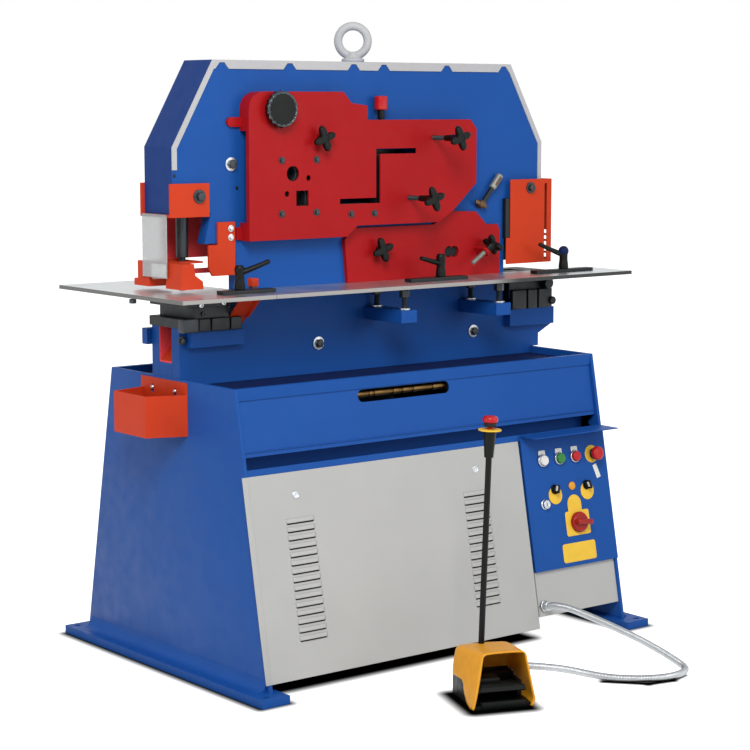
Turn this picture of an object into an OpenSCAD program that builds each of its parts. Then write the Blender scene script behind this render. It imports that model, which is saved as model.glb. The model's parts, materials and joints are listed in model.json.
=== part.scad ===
// Hydraulic ironworker: a rocker beam between two thick plates drives a punch on the left,
// section shears behind red guards and a notcher on the right. It stands on a sheet metal base
// with a sloping front, and a foot pedal on a metal hose works it.
// X runs to the right, Y to the back and Z up. The origin is on the floor between the anchor holes.

/* [Base cabinet] */
// Width over the two side plates
base_w = 1286; // [1270:1:1310]
// Height of the side plates' top edge above the floor
base_h = 798; // [794:1:804]
// Depth of the side plates at the top
base_top_d = 610; // [590:1:640]
// Depth of the side plates at the feet
base_bottom_d = 910; // [890:1:930]
// Thickness of a side plate
side_t = 10; // [6:1:14]
// Width of a foot
foot_w = 86; // [80:1:100]
// Length of a foot
foot_l = 1000; // [980:1:1060]
// Thickness of a foot
foot_t = 23; // [18:1:28]
// How far a foot stands out beyond its side plate
foot_out = 54; // [44:1:60]
// Diameter of an anchor hole
anchor_d = 18; // [12:1:24]
// Distance of an anchor hole from the end of its foot
anchor_inset = 25; // [18:1:30]
// Depth of the deck below the side plates' top edge
deck_drop = 20; // [12:1:30]
// Thickness of the deck
deck_t = 12; // [8:1:16]
// How far the chute panel lies behind the sloping front
chute_recess = 10; // [6:1:20]
// Length of the slot in the chute panel
slot_l = 325; // [250:1:380]
// Height of the slot in the chute panel
slot_h = 34; // [20:1:36]
// Width of the control panel
panel_w = 329; // [310:1:350]
// Height of the top edge of the front cover above the floor
cover_top = 573; // [560:1:580]
// Number of louvres in each column of the front cover
louvres = 15; // [8:1:17]
// Length of a louvre
louvre_l = 87; // [60:1:110]
// Thickness of the sheet metal covers
sheet_t = 3; // [2:0.5:5]

/* [Frame] */
// Thickness of each of the two frame plates
plate_t = 38; // [30:1:44]
// Space between the two frame plates
plate_gap = 60; // [56:1:70]
// Y of the front face of the frame
frame_front = -44; // [-50:1:-40]
// Height of the top of the frame above the floor
frame_top = 1650; // [1645:1:1670]
// Height of the sloping corners below the frame's top
corner_h = 233; // [220:1:245]
// Width of the frame at the shoulders
frame_w = 1327; // [1320:1:1340]
// Length of the flat top of the frame
top_l = 1070; // [1000:1:1120]
// Thickness of the bent cover over the frame's edges
skin_t = 4; // [2:0.5:6]
// Width of the light edge trim on the front face
trim_w = 20; // [14:1:26]
// Diameter of the lifting eye's ring bar
eye_bar_d = 24; // [18:1:28]
// Inner diameter of the lifting eye
eye_hole_d = 60; // [50:1:70]

/* [Rocker and hydraulics] */
// Diameter of the pivot pin
pin_d = 80; // [60:1:100]
// Running clearance of pins and rams, on the radius
run_gap = 0.05; // [0.02:0.01:0.1]
// Gap under the rocker beam's seats on what it pushes
push_gap = 0.6; // [0.4:0.1:1]
// Thickness of the rocker beam
beam_t = 48; // [40:1:52]
// Diameter of the cylinder rod
rod_d = 50; // [40:1:54]
// Outer diameter of the hydraulic cylinder
barrel_d = 150; // [130:1:170]
// Diameter of the punch ram
ram_d = 34; // [28:1:44]
// Diameter of the punch
punch_d = 18; // [10:1:24]

/* [Tables] */
// Height of the table tops above the floor
table_top = 1030; // [1026:1:1034]
// Thickness of the table plates
table_t = 11; // [10:1:18]
// Overall length of the tables
table_l = 1625; // [1610:1:1640]
// Distance of the tables' front edge in front of the frame
table_front = 196; // [188:1:210]
// Depth of the punch table
table_d = 632; // [560:1:660]
// Thickness of the clamp bars
bar_t = 10; // [8:1:14]
// Reach of a clamp handle
handle_l = 80; // [60:1:80]

/* [Guards] */
// How far the upper guard stands in front of the frame
guard_d = 45; // [40:1:55]
// Thickness of the lower guard plate
low_guard_t = 15; // [8:1:20]
// Width of the angle slot in the upper guard
angle_slot_w = 15; // [8:1:16]
// Diameter over the lobes of a star knob
star_d = 74; // [60:1:84]
// Diameter of a star knob's screw
screw_d = 14; // [10:1:16]
// Diameter of the big knurled knob
dial_d = 102; // [80:1:110]

/* [Controls] */
// Diameter of a push button's collar
button_d = 29; // [26:1:32]
// Diameter of an emergency stop head
stop_d = 40; // [34:1:46]
// Thickness of the control panel
panel_t = 4; // [3:0.5:6]
// Depth of the canopy over the control panel
canopy_d = 70; // [50:1:90]

/* [Foot pedal] */
// Width of the pedal hood
hood_w = 164; // [156:1:176]
// Height of the pedal hood
hood_h = 134; // [128:1:142]
// Thickness of the hood
hood_t = 4; // [3:0.5:5]
// Diameter of the emergency stop pole
pole_d = 16; // [12:1:20]
// Height of the top of the pole above the floor
pole_h = 626; // [600:1:660]
// Diameter of the metal hose
hose_d = 20; // [16:1:22]

/* [Hidden] */
$fn = 48;

blue = "#2a5ca0";
red = "#b22024";
orange = "#cd4123";
grey = "#babab8";
black = "#26292a";
steel = "#b9bcbe";
yellow = "#e1a032";

// Outside and inside of the base cabinet
side_x = base_w / 2;
inner_x = side_x - side_t;
foot_x = side_x + foot_out;
anchor_x = side_x + foot_out / 2;
anchor_y = foot_l / 2 - anchor_inset;
deck_top = base_h - deck_drop;
deck_low = deck_top - deck_t;
front_tilt = atan((base_bottom_d - base_top_d) / 2 / (base_h - foot_t));
function front_y(z) = -base_bottom_d / 2 + (z - foot_t) * tan(front_tilt);
function slope(z) = (z - foot_t) / cos(front_tilt);

// Heights and places on the sloping front
rim_t = 15;
chute_t = 5;
chute_low = cover_top + 49;
rail_h = 17;
cover_low = foot_t + 20;
panel_left = side_x - panel_w;
cover_right = panel_left - 6;
louvre_h = 6;
louvre_pitch = 22;
louvre_top = cover_top - 132;
louvre_x = [-484, 127];
lock_x = [-490, 136];
lock_z = cover_top - 60;
slot_x = -76;
slot_z = deck_low - 18;
cross_h = 40;
cross_y = 150;
cross_z = 40;
tray_d = 20;
box_out = 107;

// Control box on the right of the front, with places as X and height
panel_low = 200;
box_in = 130;
box_wall = 2;
canopy_z = cover_top + 13;
lower_box_low = 74;
lower_box_back = 6;
lower_box_in = 90;
button_z = cover_top - 63;
white_x = panel_left + 73;
green_x = panel_left + 139;
red_x = panel_left + 201;
stop_x = panel_left + 271;
selector_z = cover_top - 149;
selector_x = [panel_left + 108, panel_left + 235];
key_at = [panel_left + 63, cover_top - 187];
lamp_at = [panel_left + 177, cover_top - 146];
switch_at = [panel_left + 185, cover_top - 251];
plate_at = [panel_left + 182, cover_top - 330];
stem_d = 16;
stem_in = 18;
press_gap = 6;
tag_t = 2;
seat_gap = 0.3;

// Frame outline and depth. The frame's heights are given for a base as high as base_ref, and the
// frame stands on the deck whatever the base's height
base_ref = 798;
frame_foot = base_ref - deck_drop;
frame_bend = frame_top - corner_h;
frame_mid = frame_front + plate_t + plate_gap / 2;
gap_front = frame_front + plate_t;
gap_back = gap_front + plate_gap;
frame_back = gap_back + plate_t;
frame_x = 4.5;
left_x = frame_x - frame_w / 2 + skin_t;
right_x = frame_x + frame_w / 2 - skin_t;
top_x = 6;
top_left = top_x - top_l / 2 + skin_t;
top_right = top_x + top_l / 2 - skin_t;
plate_top = frame_top - skin_t;
left_jaw = 1240;
lip_x = -557;
right_jaw = 1255;
left_bed = 936;
right_bed = 918;
left_throat = -455;
rear_throat = -380;
right_throat = 520;
throat_top = 1158;
throat_r = 36;
toe_x = right_x + 53;
toe_z = right_bed - 56;
foot_end = inner_x - 1;
low_x = left_x + 13;
outline = [[-foot_end, frame_foot], [-foot_end, base_ref], [low_x, base_ref], [low_x, left_jaw],
    [left_x, left_jaw], [left_x, frame_bend],
    [top_left, plate_top], [top_right, plate_top],
    [right_x, frame_bend], [right_x, right_bed], [toe_x, right_bed], [toe_x, toe_z],
    [right_x + 1, toe_z - 26], [right_x + 1, base_ref], [foot_end, base_ref], [foot_end, frame_foot]];
rim_path = [[left_x, left_jaw], [left_x, frame_bend], [top_left, plate_top], [top_right, plate_top],
    [right_x, frame_bend], [right_x, right_jaw]];
eye_r = (eye_hole_d + eye_bar_d) / 2;
eye_neck = 24;
eye_z = frame_top + eye_neck + eye_r - eye_bar_d / 4;
eye_turn = -38;
tab_gaps = [-497, -273, -51, 57, 291, 512];
window_x = [-142, 142];
window_z = [1240, 1404];
blade_t = 28;
bar_blade_x = [-325, -226];
bar_blade_z = [1246, 1370];

// Rocker beam, its pivot and what it drives
pivot_x = -20;
pivot_z = 1450;
beam_end = 24;
beam_low = 1345;
beam_tip = 70;
beam_mid_low = 1260;
ram_x = -585;
notch_x = 592;
notch_w = 70;
notch_d = 44;
rod_x = 250;
ram_nose = table_top + 90;
punch_low = table_top + 22;
notch_low = table_top + 32;
guide_h = 50;
spacer_top = 900;
barrel_h = 400;
piston_d = 110;
piston_t = 50;
rod_play = 2;
chute_lip = spacer_top - 62;

// Tables, bars and levers
table_y = frame_front - table_front;
table_x = -757;
table_low = table_top - table_t;
bar_y = frame_front - 106;
bar_w = 32;
lever_h = 60;
lever_tilt = 62;
lever_at = [-517, 184, 667];
bar_left = [64, 122, 121];
bar_right = [108, 91, 109];
bracket_x = [14, 368];
bracket_w = 56;
bracket_top = 958;
bracket_low = 922;
punch_shelf_x = [-620, -448];
punch_shelf_z = [left_bed - 54, left_bed - 10];
rear_shelf_x = -658;
right_shelf_z = [right_bed - 52, right_bed];
shelf_y = frame_front - 26;
bracket_y = frame_front - 172;
stud_y = [frame_front - 24, frame_front - 150];

// Punch station
die_d = 56;
die_fit = 0.1;
die_h = 40;
strip_low = table_top + 13;
foot_h = 63;
strip_top = strip_low + foot_h;
strip_foot = [71, 76];
strip_x = ram_x - 82;
strip_y = [frame_mid - 120, frame_mid + 38];
bridge_t = 5;
bracket_t = 8;
u_x = [left_x - 14, ram_x + 40];
u_low = left_jaw - bracket_t;
u_high = left_jaw + 82;
chute_x = [-498, -440];

// Guards
guard_front = frame_front - guard_d;
guard_wall = 5;
low_front = frame_front - low_guard_t;
notch_guard_y = frame_front - 16;
notch_guard_x = [right_throat - 7, right_x + 33];
notch_guard_z = [table_top + 25, 1308];
notch_guard_t = 3;
slit_x = [right_x + 4, right_x + 14];
guard_bolt = [609, 1282];
sight_at = [302, 1102];
side_at = [356, 1074];
side_tilt = 57;
side_y = low_front - star_d / 2 - 4;
boss_l = 54;
tab_t = 10;
screw_in = guard_wall + 6;
dial_at = [-345, 1518];
top_at = [-205, 1438];
upper_at = [208, 1436];
lower_at = [117, 1266];
low_screw_at = [24, 1120];
plunger_x = 30;
plunger_y = frame_front - guard_d / 2;
plunger_d = 10;
cam_at = [418, 1238];
cam_turn = 49;
guard_step = 1488;
guard_left = -441;
guard_top = 1566;
guard_points = concat([[guard_left, 1163]],
    bend([guard_left, 1163], [guard_left, guard_top], [-120, guard_top], 58),
    [[-120, guard_top], [-92, 1535], [-36, 1528], [-36, guard_step], [346, guard_step], [370, 1462],
    [370, 1303], [283, 1226], [228, 1193], [-70, 1193], [-108, 1163]]);
low_points = [[-94, 1152], [-60, 1184], [232, 1184], [300, 1221], [396, 1217], [438, 1177],
    [482, 1177], [490, 1160], [490, table_top], [-82, table_top]];

// Pedal unit, in its own turned frame
pedal_at = [-175, -790];
pedal_turn = -21;
base_half = hood_w / 2 - hood_t;
base_back = 88;
block_y = 48;
block_h = 56;
cheek_low = 52;
pedal_axis_y = 4;
pedal_axis_z = 38;
pedal_pin_d = 10;
pole_x = -10;
pole_y = 64;
pole_lean = 2;
grip_h = 70;
hose_sides = 10;

// Hose route from the gland on the lower box to the pedal
gland_x = 335;
gland_z = 104;
gland_l = 26;
front_out = [0, -cos(front_tilt), sin(front_tilt)];
gland_at = [gland_x, front_y(gland_z), gland_z] - lower_box_back * front_out;
hose_in_z = 38;
hose_dir = turned([1, 0], pedal_turn);
hose_end = pedal_at + turned([base_half, 70], pedal_turn);
hose_route = [gland_at + gland_l * front_out, gland_at + (gland_l + 30) * front_out,
    [338, -540, 115], [347, -591, 107], [360, -645, 95], [376, -700, 80], [394, -750, 64],
    [411, -797, 46], [424, -838, 29], [428, -876, 16], [414, -914, 11], [382, -940, 11],
    [343, -950, 11], [300, -946, 11], [255, -926, 11], [214, -893, 11], [178, -856, 12],
    [140, -825, 17], [92, -805, 26], [36, -792, 34],
    [hose_end[0] + 40 * hose_dir[0], hose_end[1] + 40 * hose_dir[1], hose_in_z],
    [hose_end[0], hose_end[1], hose_in_z]];

function turned(v, a) = [v[0] * cos(a) - v[1] * sin(a), v[0] * sin(a) + v[1] * cos(a)];
function unit(v) = v / norm(v);
// The corner at b between a and c, rounded by a parabola over the distance d
function bend(a, b, c, d) = let (u = b + d * unit(a - b), v = b + d * unit(c - b))
    [for (t = [0:0.125:1]) (1 - t) * (1 - t) * u + 2 * t * (1 - t) * b + t * t * v];
function side_of(a, b) = let (u = unit(b - a)) [-u[1], u[0]];
function corner(a, b, c, d) = let (n = side_of(a, b), m = unit(n + side_of(b, c))) b + m * d / (m * n);
function strip_point(p, i, d) = i == 0 ? p[0] + side_of(p[0], p[1]) * d
    : i == len(p) - 1 ? p[i] + side_of(p[i - 1], p[i]) * d
    : corner(p[i - 1], p[i], p[i + 1], d);
// The closed outline p moved inwards by d, for points that run clockwise
function inset(p, d) = let (n = len(p))
    [for (i = [0:n - 1]) corner(p[(i + n - 1) % n], p[i], p[(i + 1) % n], -d)];
// A strip that follows path p from the distance a to the distance b on its left side
function strip(p, a, b) = concat([for (i = [0:len(p) - 1]) strip_point(p, i, a)],
    [for (i = [len(p) - 1:-1:0]) strip_point(p, i, b)]);

// Children of the frame, moved with the base's height
module above_base() {
    translate([0, 0, base_h - base_ref]) children();
}

// A box between two X, two Y and two Z values
module block(x, y, z) {
    translate([x[0], y[0], z[0]]) cube([x[1] - x[0], y[1] - y[0], z[1] - z[0]]);
}

// Children drawn in the X and Z plane, from y to y + t
module slab(y, t) {
    translate([0, y + t, 0]) rotate([90, 0, 0]) linear_extrude(t) children();
}

// A round bar along Y
module bar_along_y(x, z, y, d) {
    translate([x, y[0], z]) rotate([-90, 0, 0]) cylinder(d = d, h = y[1] - y[0]);
}

// Children on the sloping front at x and the height z, with local Z pointing out of it
module on_front(x, z) {
    translate([x, front_y(z), z]) rotate([90 - front_tilt, 0, 0]) children();
}

// The same from the floor up, with local Y measured up the slope
module on_slope(back = false) {
    mirror([0, back ? 1 : 0, 0]) on_front(0, foot_t) children();
}

module base_side(s) {
    difference() {
        union() {
            block([min(s * foot_x, s * (foot_x - foot_w)), max(s * foot_x, s * (foot_x - foot_w))],
                [-foot_l / 2, foot_l / 2], [0, foot_t]);
            translate([s > 0 ? inner_x : -side_x, 0, 0]) rotate([90, 0, 90]) linear_extrude(side_t)
                polygon([[-base_bottom_d / 2, foot_t], [base_bottom_d / 2, foot_t],
                    [base_top_d / 2, base_h], [-base_top_d / 2, base_h]]);
        }
        for (y = [-anchor_y, anchor_y])
            translate([s * anchor_x, y, -1]) cylinder(d = anchor_d, h = foot_t + 2);
    }
}

module base_sides() {
    color(blue) for (s = [-1, 1]) base_side(s);
}

// A slot with round ends, along X
module round_slot(l, h, t) {
    cube([l - h, h, t], center = true);
    for (s = [-1, 1]) translate([s * (l - h) / 2, 0, 0]) cylinder(d = h, h = t, center = true);
}

module chute_panel() {
    difference() {
        on_slope() block([1 - inner_x, inner_x - 1], [slope(chute_low), slope(deck_low) + 6],
            [-chute_recess - chute_t, -chute_recess]);
        on_front(slot_x, slot_z) round_slot(slot_l, slot_h, 4 * (chute_recess + chute_t));
    }
}

module base_frame() {
    color(blue) {
        difference() {
            union() {
                block([-inner_x, inner_x], [-base_top_d / 2, base_top_d / 2], [deck_low, deck_top]);
                for (s = [-1, 1])
                    translate([0, s * (base_top_d - rim_t) / 2, (deck_low + base_h) / 2])
                        cube([2 * inner_x, rim_t, base_h - deck_low], center = true);
                chute_panel();
            }
            translate([rod_x, frame_mid, deck_low - 1])
                cylinder(d = rod_d + 4, h = deck_t + 2);
        }
        on_slope() block([-inner_x, inner_x], [slope(cover_top), slope(cover_top + rail_h)],
            [-20, 0]);
        for (s = [-1, 1])
            translate([0, s * cross_y, cross_z + cross_h / 2])
                cube([2 * inner_x, cross_h, cross_h], center = true);
    }
}

// A shallow tray of sheet metal in the sloping plane
module cover_tray(x, z, depth) {
    difference() {
        block(x, [slope(z[0]), slope(z[1])], [-depth, 0]);
        block([x[0] + sheet_t, x[1] - sheet_t], [slope(z[0]) + sheet_t, slope(z[1]) - sheet_t],
            [-depth - 1, -sheet_t]);
    }
}

module louvre_column(x) {
    for (i = [0:louvres - 1])
        translate([x, slope(louvre_top) - i * louvre_pitch, 0])
            cube([louvre_l, louvre_h, 3 * sheet_t], center = true);
}

module cabinet_covers() {
    color(grey) {
        on_slope() difference() {
            cover_tray([-inner_x, cover_right], [cover_low, cover_top], tray_d);
            for (x = louvre_x) louvre_column(x);
        }
        on_slope(true) difference() {
            cover_tray([-inner_x, inner_x], [cover_low, deck_low - 6], tray_d);
            for (x = louvre_x) louvre_column(x);
        }
        on_slope() difference() {
            block([panel_left + 3, inner_x], [slope(lower_box_low), slope(panel_low)],
                [-lower_box_in, -lower_box_back]);
            block([panel_left + 3 + sheet_t, inner_x - sheet_t],
                [slope(lower_box_low) + sheet_t, slope(panel_low) + 1],
                [-lower_box_in + sheet_t, -lower_box_back - sheet_t]);
        }
    }
}

module hose_gland() {
    color(steel) translate(gland_at) rotate([90 - front_tilt, 0, 0]) {
        cylinder(d = hose_d + 14, h = 10, $fn = 6);
        cylinder(d = hose_d + 7, h = gland_l);
    }
}

// The hole for a control's stem through the panel
module stem_hole(x, z) {
    on_front(x, z) translate([0, 0, -1])
        cylinder(d = stem_d + 4 * run_gap, h = panel_t + tag_t + 2);
}

module stem_holes() {
    for (x = [white_x, green_x, red_x, stop_x]) stem_hole(x, button_z);
    for (x = selector_x) stem_hole(x, selector_z);
    stem_hole(switch_at[0], switch_at[1]);
}

module control_box() {
    color(blue) difference() {
        union() {
            on_slope() difference() {
                block([panel_left + 6, inner_x], [slope(panel_low), slope(cover_top)], [-box_in, 0]);
                block([panel_left + 6 + box_wall, inner_x - box_wall],
                    [slope(panel_low) + box_wall, slope(cover_top) - box_wall],
                    [-box_in + box_wall, 1]);
            }
            on_slope() block([panel_left, side_x], [slope(panel_low), slope(canopy_z)], [0, panel_t]);
            block([panel_left, side_x], [front_y(canopy_z) - canopy_d, front_y(canopy_z) - 1],
                [canopy_z, canopy_z + sheet_t]);
        }
        stem_holes();
    }
}

module power_pack() {
    tank_z = cross_z + cross_h;
    tank_h = 200;
    motor_r = 90;
    motor_z = tank_z + tank_h + 20 + motor_r;
    color("#3c4043") {
        block([-420, 150], [-190, 190], [tank_z, tank_z + tank_h]);
        block([-290, -90], [-70, 70], [tank_z + tank_h, motor_z - motor_r / 2]);
        translate([-320, 0, motor_z]) rotate([0, 90, 0]) cylinder(r = motor_r, h = 260);
        translate([-60, 0, motor_z]) rotate([0, 90, 0]) cylinder(r = motor_r * 0.6, h = 110);
    }
}

// A gap that opens to the left and has round corners at its right end
module rounded_gap(x, z, r) {
    translate([x[0], z[0]]) square([x[1] - x[0] - r, z[1] - z[0]]);
    translate([x[0], z[0] + r]) square([x[1] - x[0], z[1] - z[0] - 2 * r]);
    for (h = [z[0] + r, z[1] - r]) translate([x[1] - r, h]) circle(r = r);
}

// Outline of a frame plate with its two throats, the left one wider in the rear plate
module plate_outline(rear) {
    past = 50;
    difference() {
        polygon(outline);
        polygon([[left_x - past, left_bed], [lip_x, left_bed], [lip_x, throat_top],
            [lip_x + 21, left_jaw], [left_x - past, left_jaw]]);
        rounded_gap([left_x - past, left_throat], [left_bed, throat_top], throat_r);
        if (rear) rounded_gap([left_x - past, rear_throat], [left_bed, left_jaw], throat_r);
        mirror([1, 0]) rounded_gap([-toe_x - past, -right_throat], [right_bed, right_jaw], throat_r);
    }
}

module frame_plates() {
    color(blue) above_base() for (y = [frame_front, gap_back]) difference() {
        slab(y, plate_t) plate_outline(y == gap_back);
        bar_along_y(pivot_x, pivot_z, [y - 1, y + plate_t + 1], pin_d + 2 * run_gap);
        if (y == frame_front) {
            block(window_x, [y - 1, y + plate_t + 1], window_z);
            sight_hole([y - 1, y + plate_t + 1]);
        }
    }
}

module frame_skin() {
    color(blue) above_base() slab(frame_front, frame_back - frame_front) polygon(strip(rim_path, 0, skin_t));
}

module edge_trim() {
    path = concat([[left_x, u_high + 23]], [for (i = [1:len(rim_path) - 1]) rim_path[i]]);
    color("#cdcdcd") above_base() slab(frame_front - sheet_t, sheet_t) difference() {
        polygon(strip(path, -trim_w, skin_t));
        for (x = tab_gaps)
            polygon([[x - 22, plate_top - trim_w - 1], [x - 8, plate_top - 3], [x + 8, plate_top - 3],
                [x + 22, plate_top - trim_w - 1]]);
    }
}

module frame_spacers() {
    across = [gap_front, gap_back];
    color(blue) above_base() {
        difference() {
            union() {
                block([lip_x, foot_end], across, [frame_foot, spacer_top]);
                block([-foot_end, lip_x], across, [frame_foot, chute_lip]);
                block([low_x, lip_x], across, [base_ref, chute_lip]);
            }
            translate([rod_x, frame_mid, frame_foot - 1])
                cylinder(d = rod_d + 2 * rod_play, h = spacer_top - frame_foot + 2);
        }
        block([-470, 470], across, [plate_top - 46, plate_top]);
        difference() {
            block([left_x, ram_x + 45], across, [left_jaw, left_jaw + guide_h]);
            translate([ram_x, frame_mid, left_jaw - 1])
                cylinder(d = ram_d + 2 * run_gap, h = guide_h + 2);
        }
        difference() {
            block([right_throat + 16, right_x], across, [right_jaw, right_jaw + guide_h]);
            notch_column([right_jaw - 1, right_jaw + guide_h + 1], seat_gap);
        }
    }
}

module lifting_eye() {
    color("#d8d8d8") above_base() {
        translate([0, frame_mid, eye_z]) rotate([90, 0, eye_turn])
            rotate_extrude() translate([eye_r, 0]) circle(d = eye_bar_d);
        translate([0, frame_mid, frame_top]) {
            cylinder(d = 65, h = 12);
            cylinder(d1 = 46, d2 = 34, h = eye_neck + 4);
        }
    }
}

module pivot_pin() {
    color(steel) above_base() {
        bar_along_y(pivot_x, pivot_z, [frame_front, frame_back], pin_d);
        bar_along_y(pivot_x, pivot_z, [frame_back, frame_back + 8], pin_d + 26);
    }
}

module rocker_beam() {
    left = left_x + beam_end;
    right = right_x - beam_end;
    color("#5a5f63") above_base() difference() {
        slab(frame_mid - beam_t / 2, beam_t)
            polygon([[left, beam_low], [left, beam_low + beam_tip], [-420, 1545], [-150, 1572],
                [110, 1572], [420, 1545], [right, beam_low + beam_tip], [right, beam_low],
                [rod_x + 170, beam_low], [rod_x + 100, beam_mid_low], [rod_x - 80, beam_mid_low],
                [rod_x - 160, beam_low]]);
        bar_along_y(pivot_x, pivot_z, [frame_mid - beam_t, frame_mid + beam_t],
            pin_d + 2 * run_gap);
    }
}

module cylinder_barrel() {
    low = deck_low - barrel_h;
    color("#3c4043") translate([rod_x, frame_mid, 0]) difference() {
        union() {
            translate([0, 0, low]) cylinder(d = barrel_d, h = barrel_h);
            translate([0, 0, deck_low - 20]) cylinder(d = barrel_d + 50, h = 20);
        }
        translate([0, 0, low + 30]) cylinder(d = piston_d + 2 * run_gap, h = barrel_h - 90);
        translate([0, 0, deck_low - 80]) cylinder(d = rod_d + 2 * run_gap, h = 100);
    }
}

// A round bar from the height low to a crowned top of radius r
module crowned_bar(d, r, low, top) {
    rim = top - r + sqrt(r * r - d * d / 4);
    translate([0, 0, low]) cylinder(d = d, h = rim - low);
    intersection() {
        translate([0, 0, top - r]) sphere(r = r);
        translate([0, 0, rim - 1]) cylinder(d = d, h = r);
    }
}

module cylinder_rod() {
    piston_z = frame_foot - deck_t - barrel_h / 2 - piston_t / 2;
    color(steel) above_base() translate([rod_x, frame_mid, 0]) {
        translate([0, 0, piston_z]) cylinder(d = piston_d, h = piston_t);
        crowned_bar(rod_d, 60, piston_z, beam_mid_low - push_gap);
    }
}

module punch_ram() {
    color("#8d9195") above_base() translate([ram_x, frame_mid, 0]) {
        crowned_bar(ram_d, 40, ram_nose, beam_low - push_gap);
        translate([0, 0, punch_low]) cylinder(d = punch_d, h = ram_nose - punch_low);
    }
}

// The notch ram's square column, grown by a gap
module notch_column(z, gap) {
    block([notch_x - notch_w / 2 - gap, notch_x + notch_w / 2 + gap],
        [frame_mid - notch_d / 2 - gap, frame_mid + notch_d / 2 + gap], z);
}

module notch_ram() {
    shoulder = right_jaw + guide_h + 20;
    color("#8d9195") above_base() {
        notch_column([notch_low, shoulder], 0);
        translate([notch_x, frame_mid, 0]) crowned_bar(36, 40, shoulder - 1, beam_low - push_gap);
    }
}

module punch_table() {
    color(steel) above_base() difference() {
        block([table_x, left_throat - 5], [table_y, table_y + table_d], [table_low, table_top]);
        translate([ram_x, frame_mid, table_low - 1]) cylinder(d = die_d + 1, h = table_t + 2);
    }
}

module front_table() {
    color(steel) above_base()
        block([left_throat - 4, table_x + table_l], [table_y, frame_front], [table_low, table_top]);
}

module table_brackets() {
    color(blue) above_base() {
        for (x = bracket_x)
            block([x - bracket_w / 2, x + bracket_w / 2], [bracket_y, frame_front],
                [bracket_low, bracket_top]);
        block(punch_shelf_x, [shelf_y, frame_front], punch_shelf_z);
        block([rear_shelf_x, punch_shelf_x[1]], [frame_back, frame_back + frame_front - shelf_y],
            punch_shelf_z);
        block([right_throat + 5, toe_x - 12], [shelf_y, frame_front], right_shelf_z);
    }
}

module die_holder() {
    color(black) above_base() difference() {
        union() {
            block([low_x - 8, -500], [frame_front - 30, frame_back], [left_bed, left_bed + 26]);
            block([low_x + 26, -500], [frame_front - 30, frame_back], [left_bed, table_low]);
            block([low_x - 6, -520], [frame_front - 50, frame_back], [table_low - 26, table_low]);
        }
        translate([ram_x, frame_mid, left_bed - 1]) cylinder(d = 32, h = 200);
        translate([ram_x, frame_mid, table_top - die_h]) cylinder(d = die_d + die_fit, h = die_h);
    }
}

module punch_die() {
    color(steel) above_base() translate([ram_x, frame_mid, table_top - die_h]) difference() {
        cylinder(d = die_d, h = die_h);
        translate([0, 0, -1]) cylinder(d = punch_d + 1, h = die_h + 2);
    }
}

module punch_bracket() {
    color(orange) above_base() difference() {
        union() {
            block(u_x, [frame_front - bracket_t, frame_front], [u_low, u_high]);
            block(u_x, [frame_back, frame_back + bracket_t], [u_low, u_high]);
            block(u_x, [frame_front - bracket_t, frame_back + bracket_t], [u_low, left_jaw]);
        }
        translate([ram_x, frame_mid, u_low - 1]) cylinder(d = ram_d + 6, h = bracket_t + 2);
    }
}

// The front foot of the stripper, drawn in towards its top
module stripper_front() {
    slab(strip_y[0], strip_foot[1]) translate([strip_x, strip_low])
        polygon([[0, 0], [strip_foot[0], 0], [strip_foot[0] - 2, 20], [45, 37], [41, foot_h + bridge_t],
            [5, foot_h + bridge_t]]);
}

// The rear foot of the stripper, a low block with a wall at its left end
module stripper_rear() {
    block([strip_x, strip_x + strip_foot[0]], [strip_y[1], strip_y[1] + strip_foot[1]],
        [strip_low, strip_low + 19]);
    block([strip_x, strip_x + 10], [strip_y[1], strip_y[1] + 58], [strip_low, strip_top + bridge_t]);
}

// The plate behind the punch, bolted to the rear frame plate, with a slot to look through
module stripper_plate() {
    x = [ram_x - 18, ram_x + 40, rear_throat + 30];
    slab(frame_back, 6) difference() {
        polygon([[x[0], strip_top - 1], [x[1], strip_top - 1], [x[1], strip_low + 25],
            [x[2], strip_low + 25], [x[2], u_low], [x[0], u_low]]);
        translate([x[1] + 10, strip_low + 39]) square([x[2] - x[1] - 60, 31]);
    }
}

module stripper() {
    color(orange) above_base() {
        stripper_front();
        stripper_rear();
        difference() {
            block([strip_x + 5, ram_x + 37], [strip_y[0] + strip_foot[1] - 2, frame_back + 6],
                [strip_top, strip_top + bridge_t]);
            translate([ram_x, frame_mid, strip_top - 1]) cylinder(d = ram_d + 14, h = bridge_t + 2);
        }
        stripper_plate();
    }
}

module clear_guard() {
    color([0.85, 0.9, 0.92, 0.5]) above_base()
        block([u_x[0] - 3, u_x[0]], [frame_mid - 57, frame_mid + 63], [strip_low + 27, left_jaw]);
}

module gauge_plate() {
    color(orange) above_base() slab(frame_front - bracket_t, bracket_t)
        polygon([[-519, 1216], [-462, 1216], [-462, 1071], [-537, 1071], [-549, 1090], [-549, 1155],
            [-519, 1155]]);
}

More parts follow.
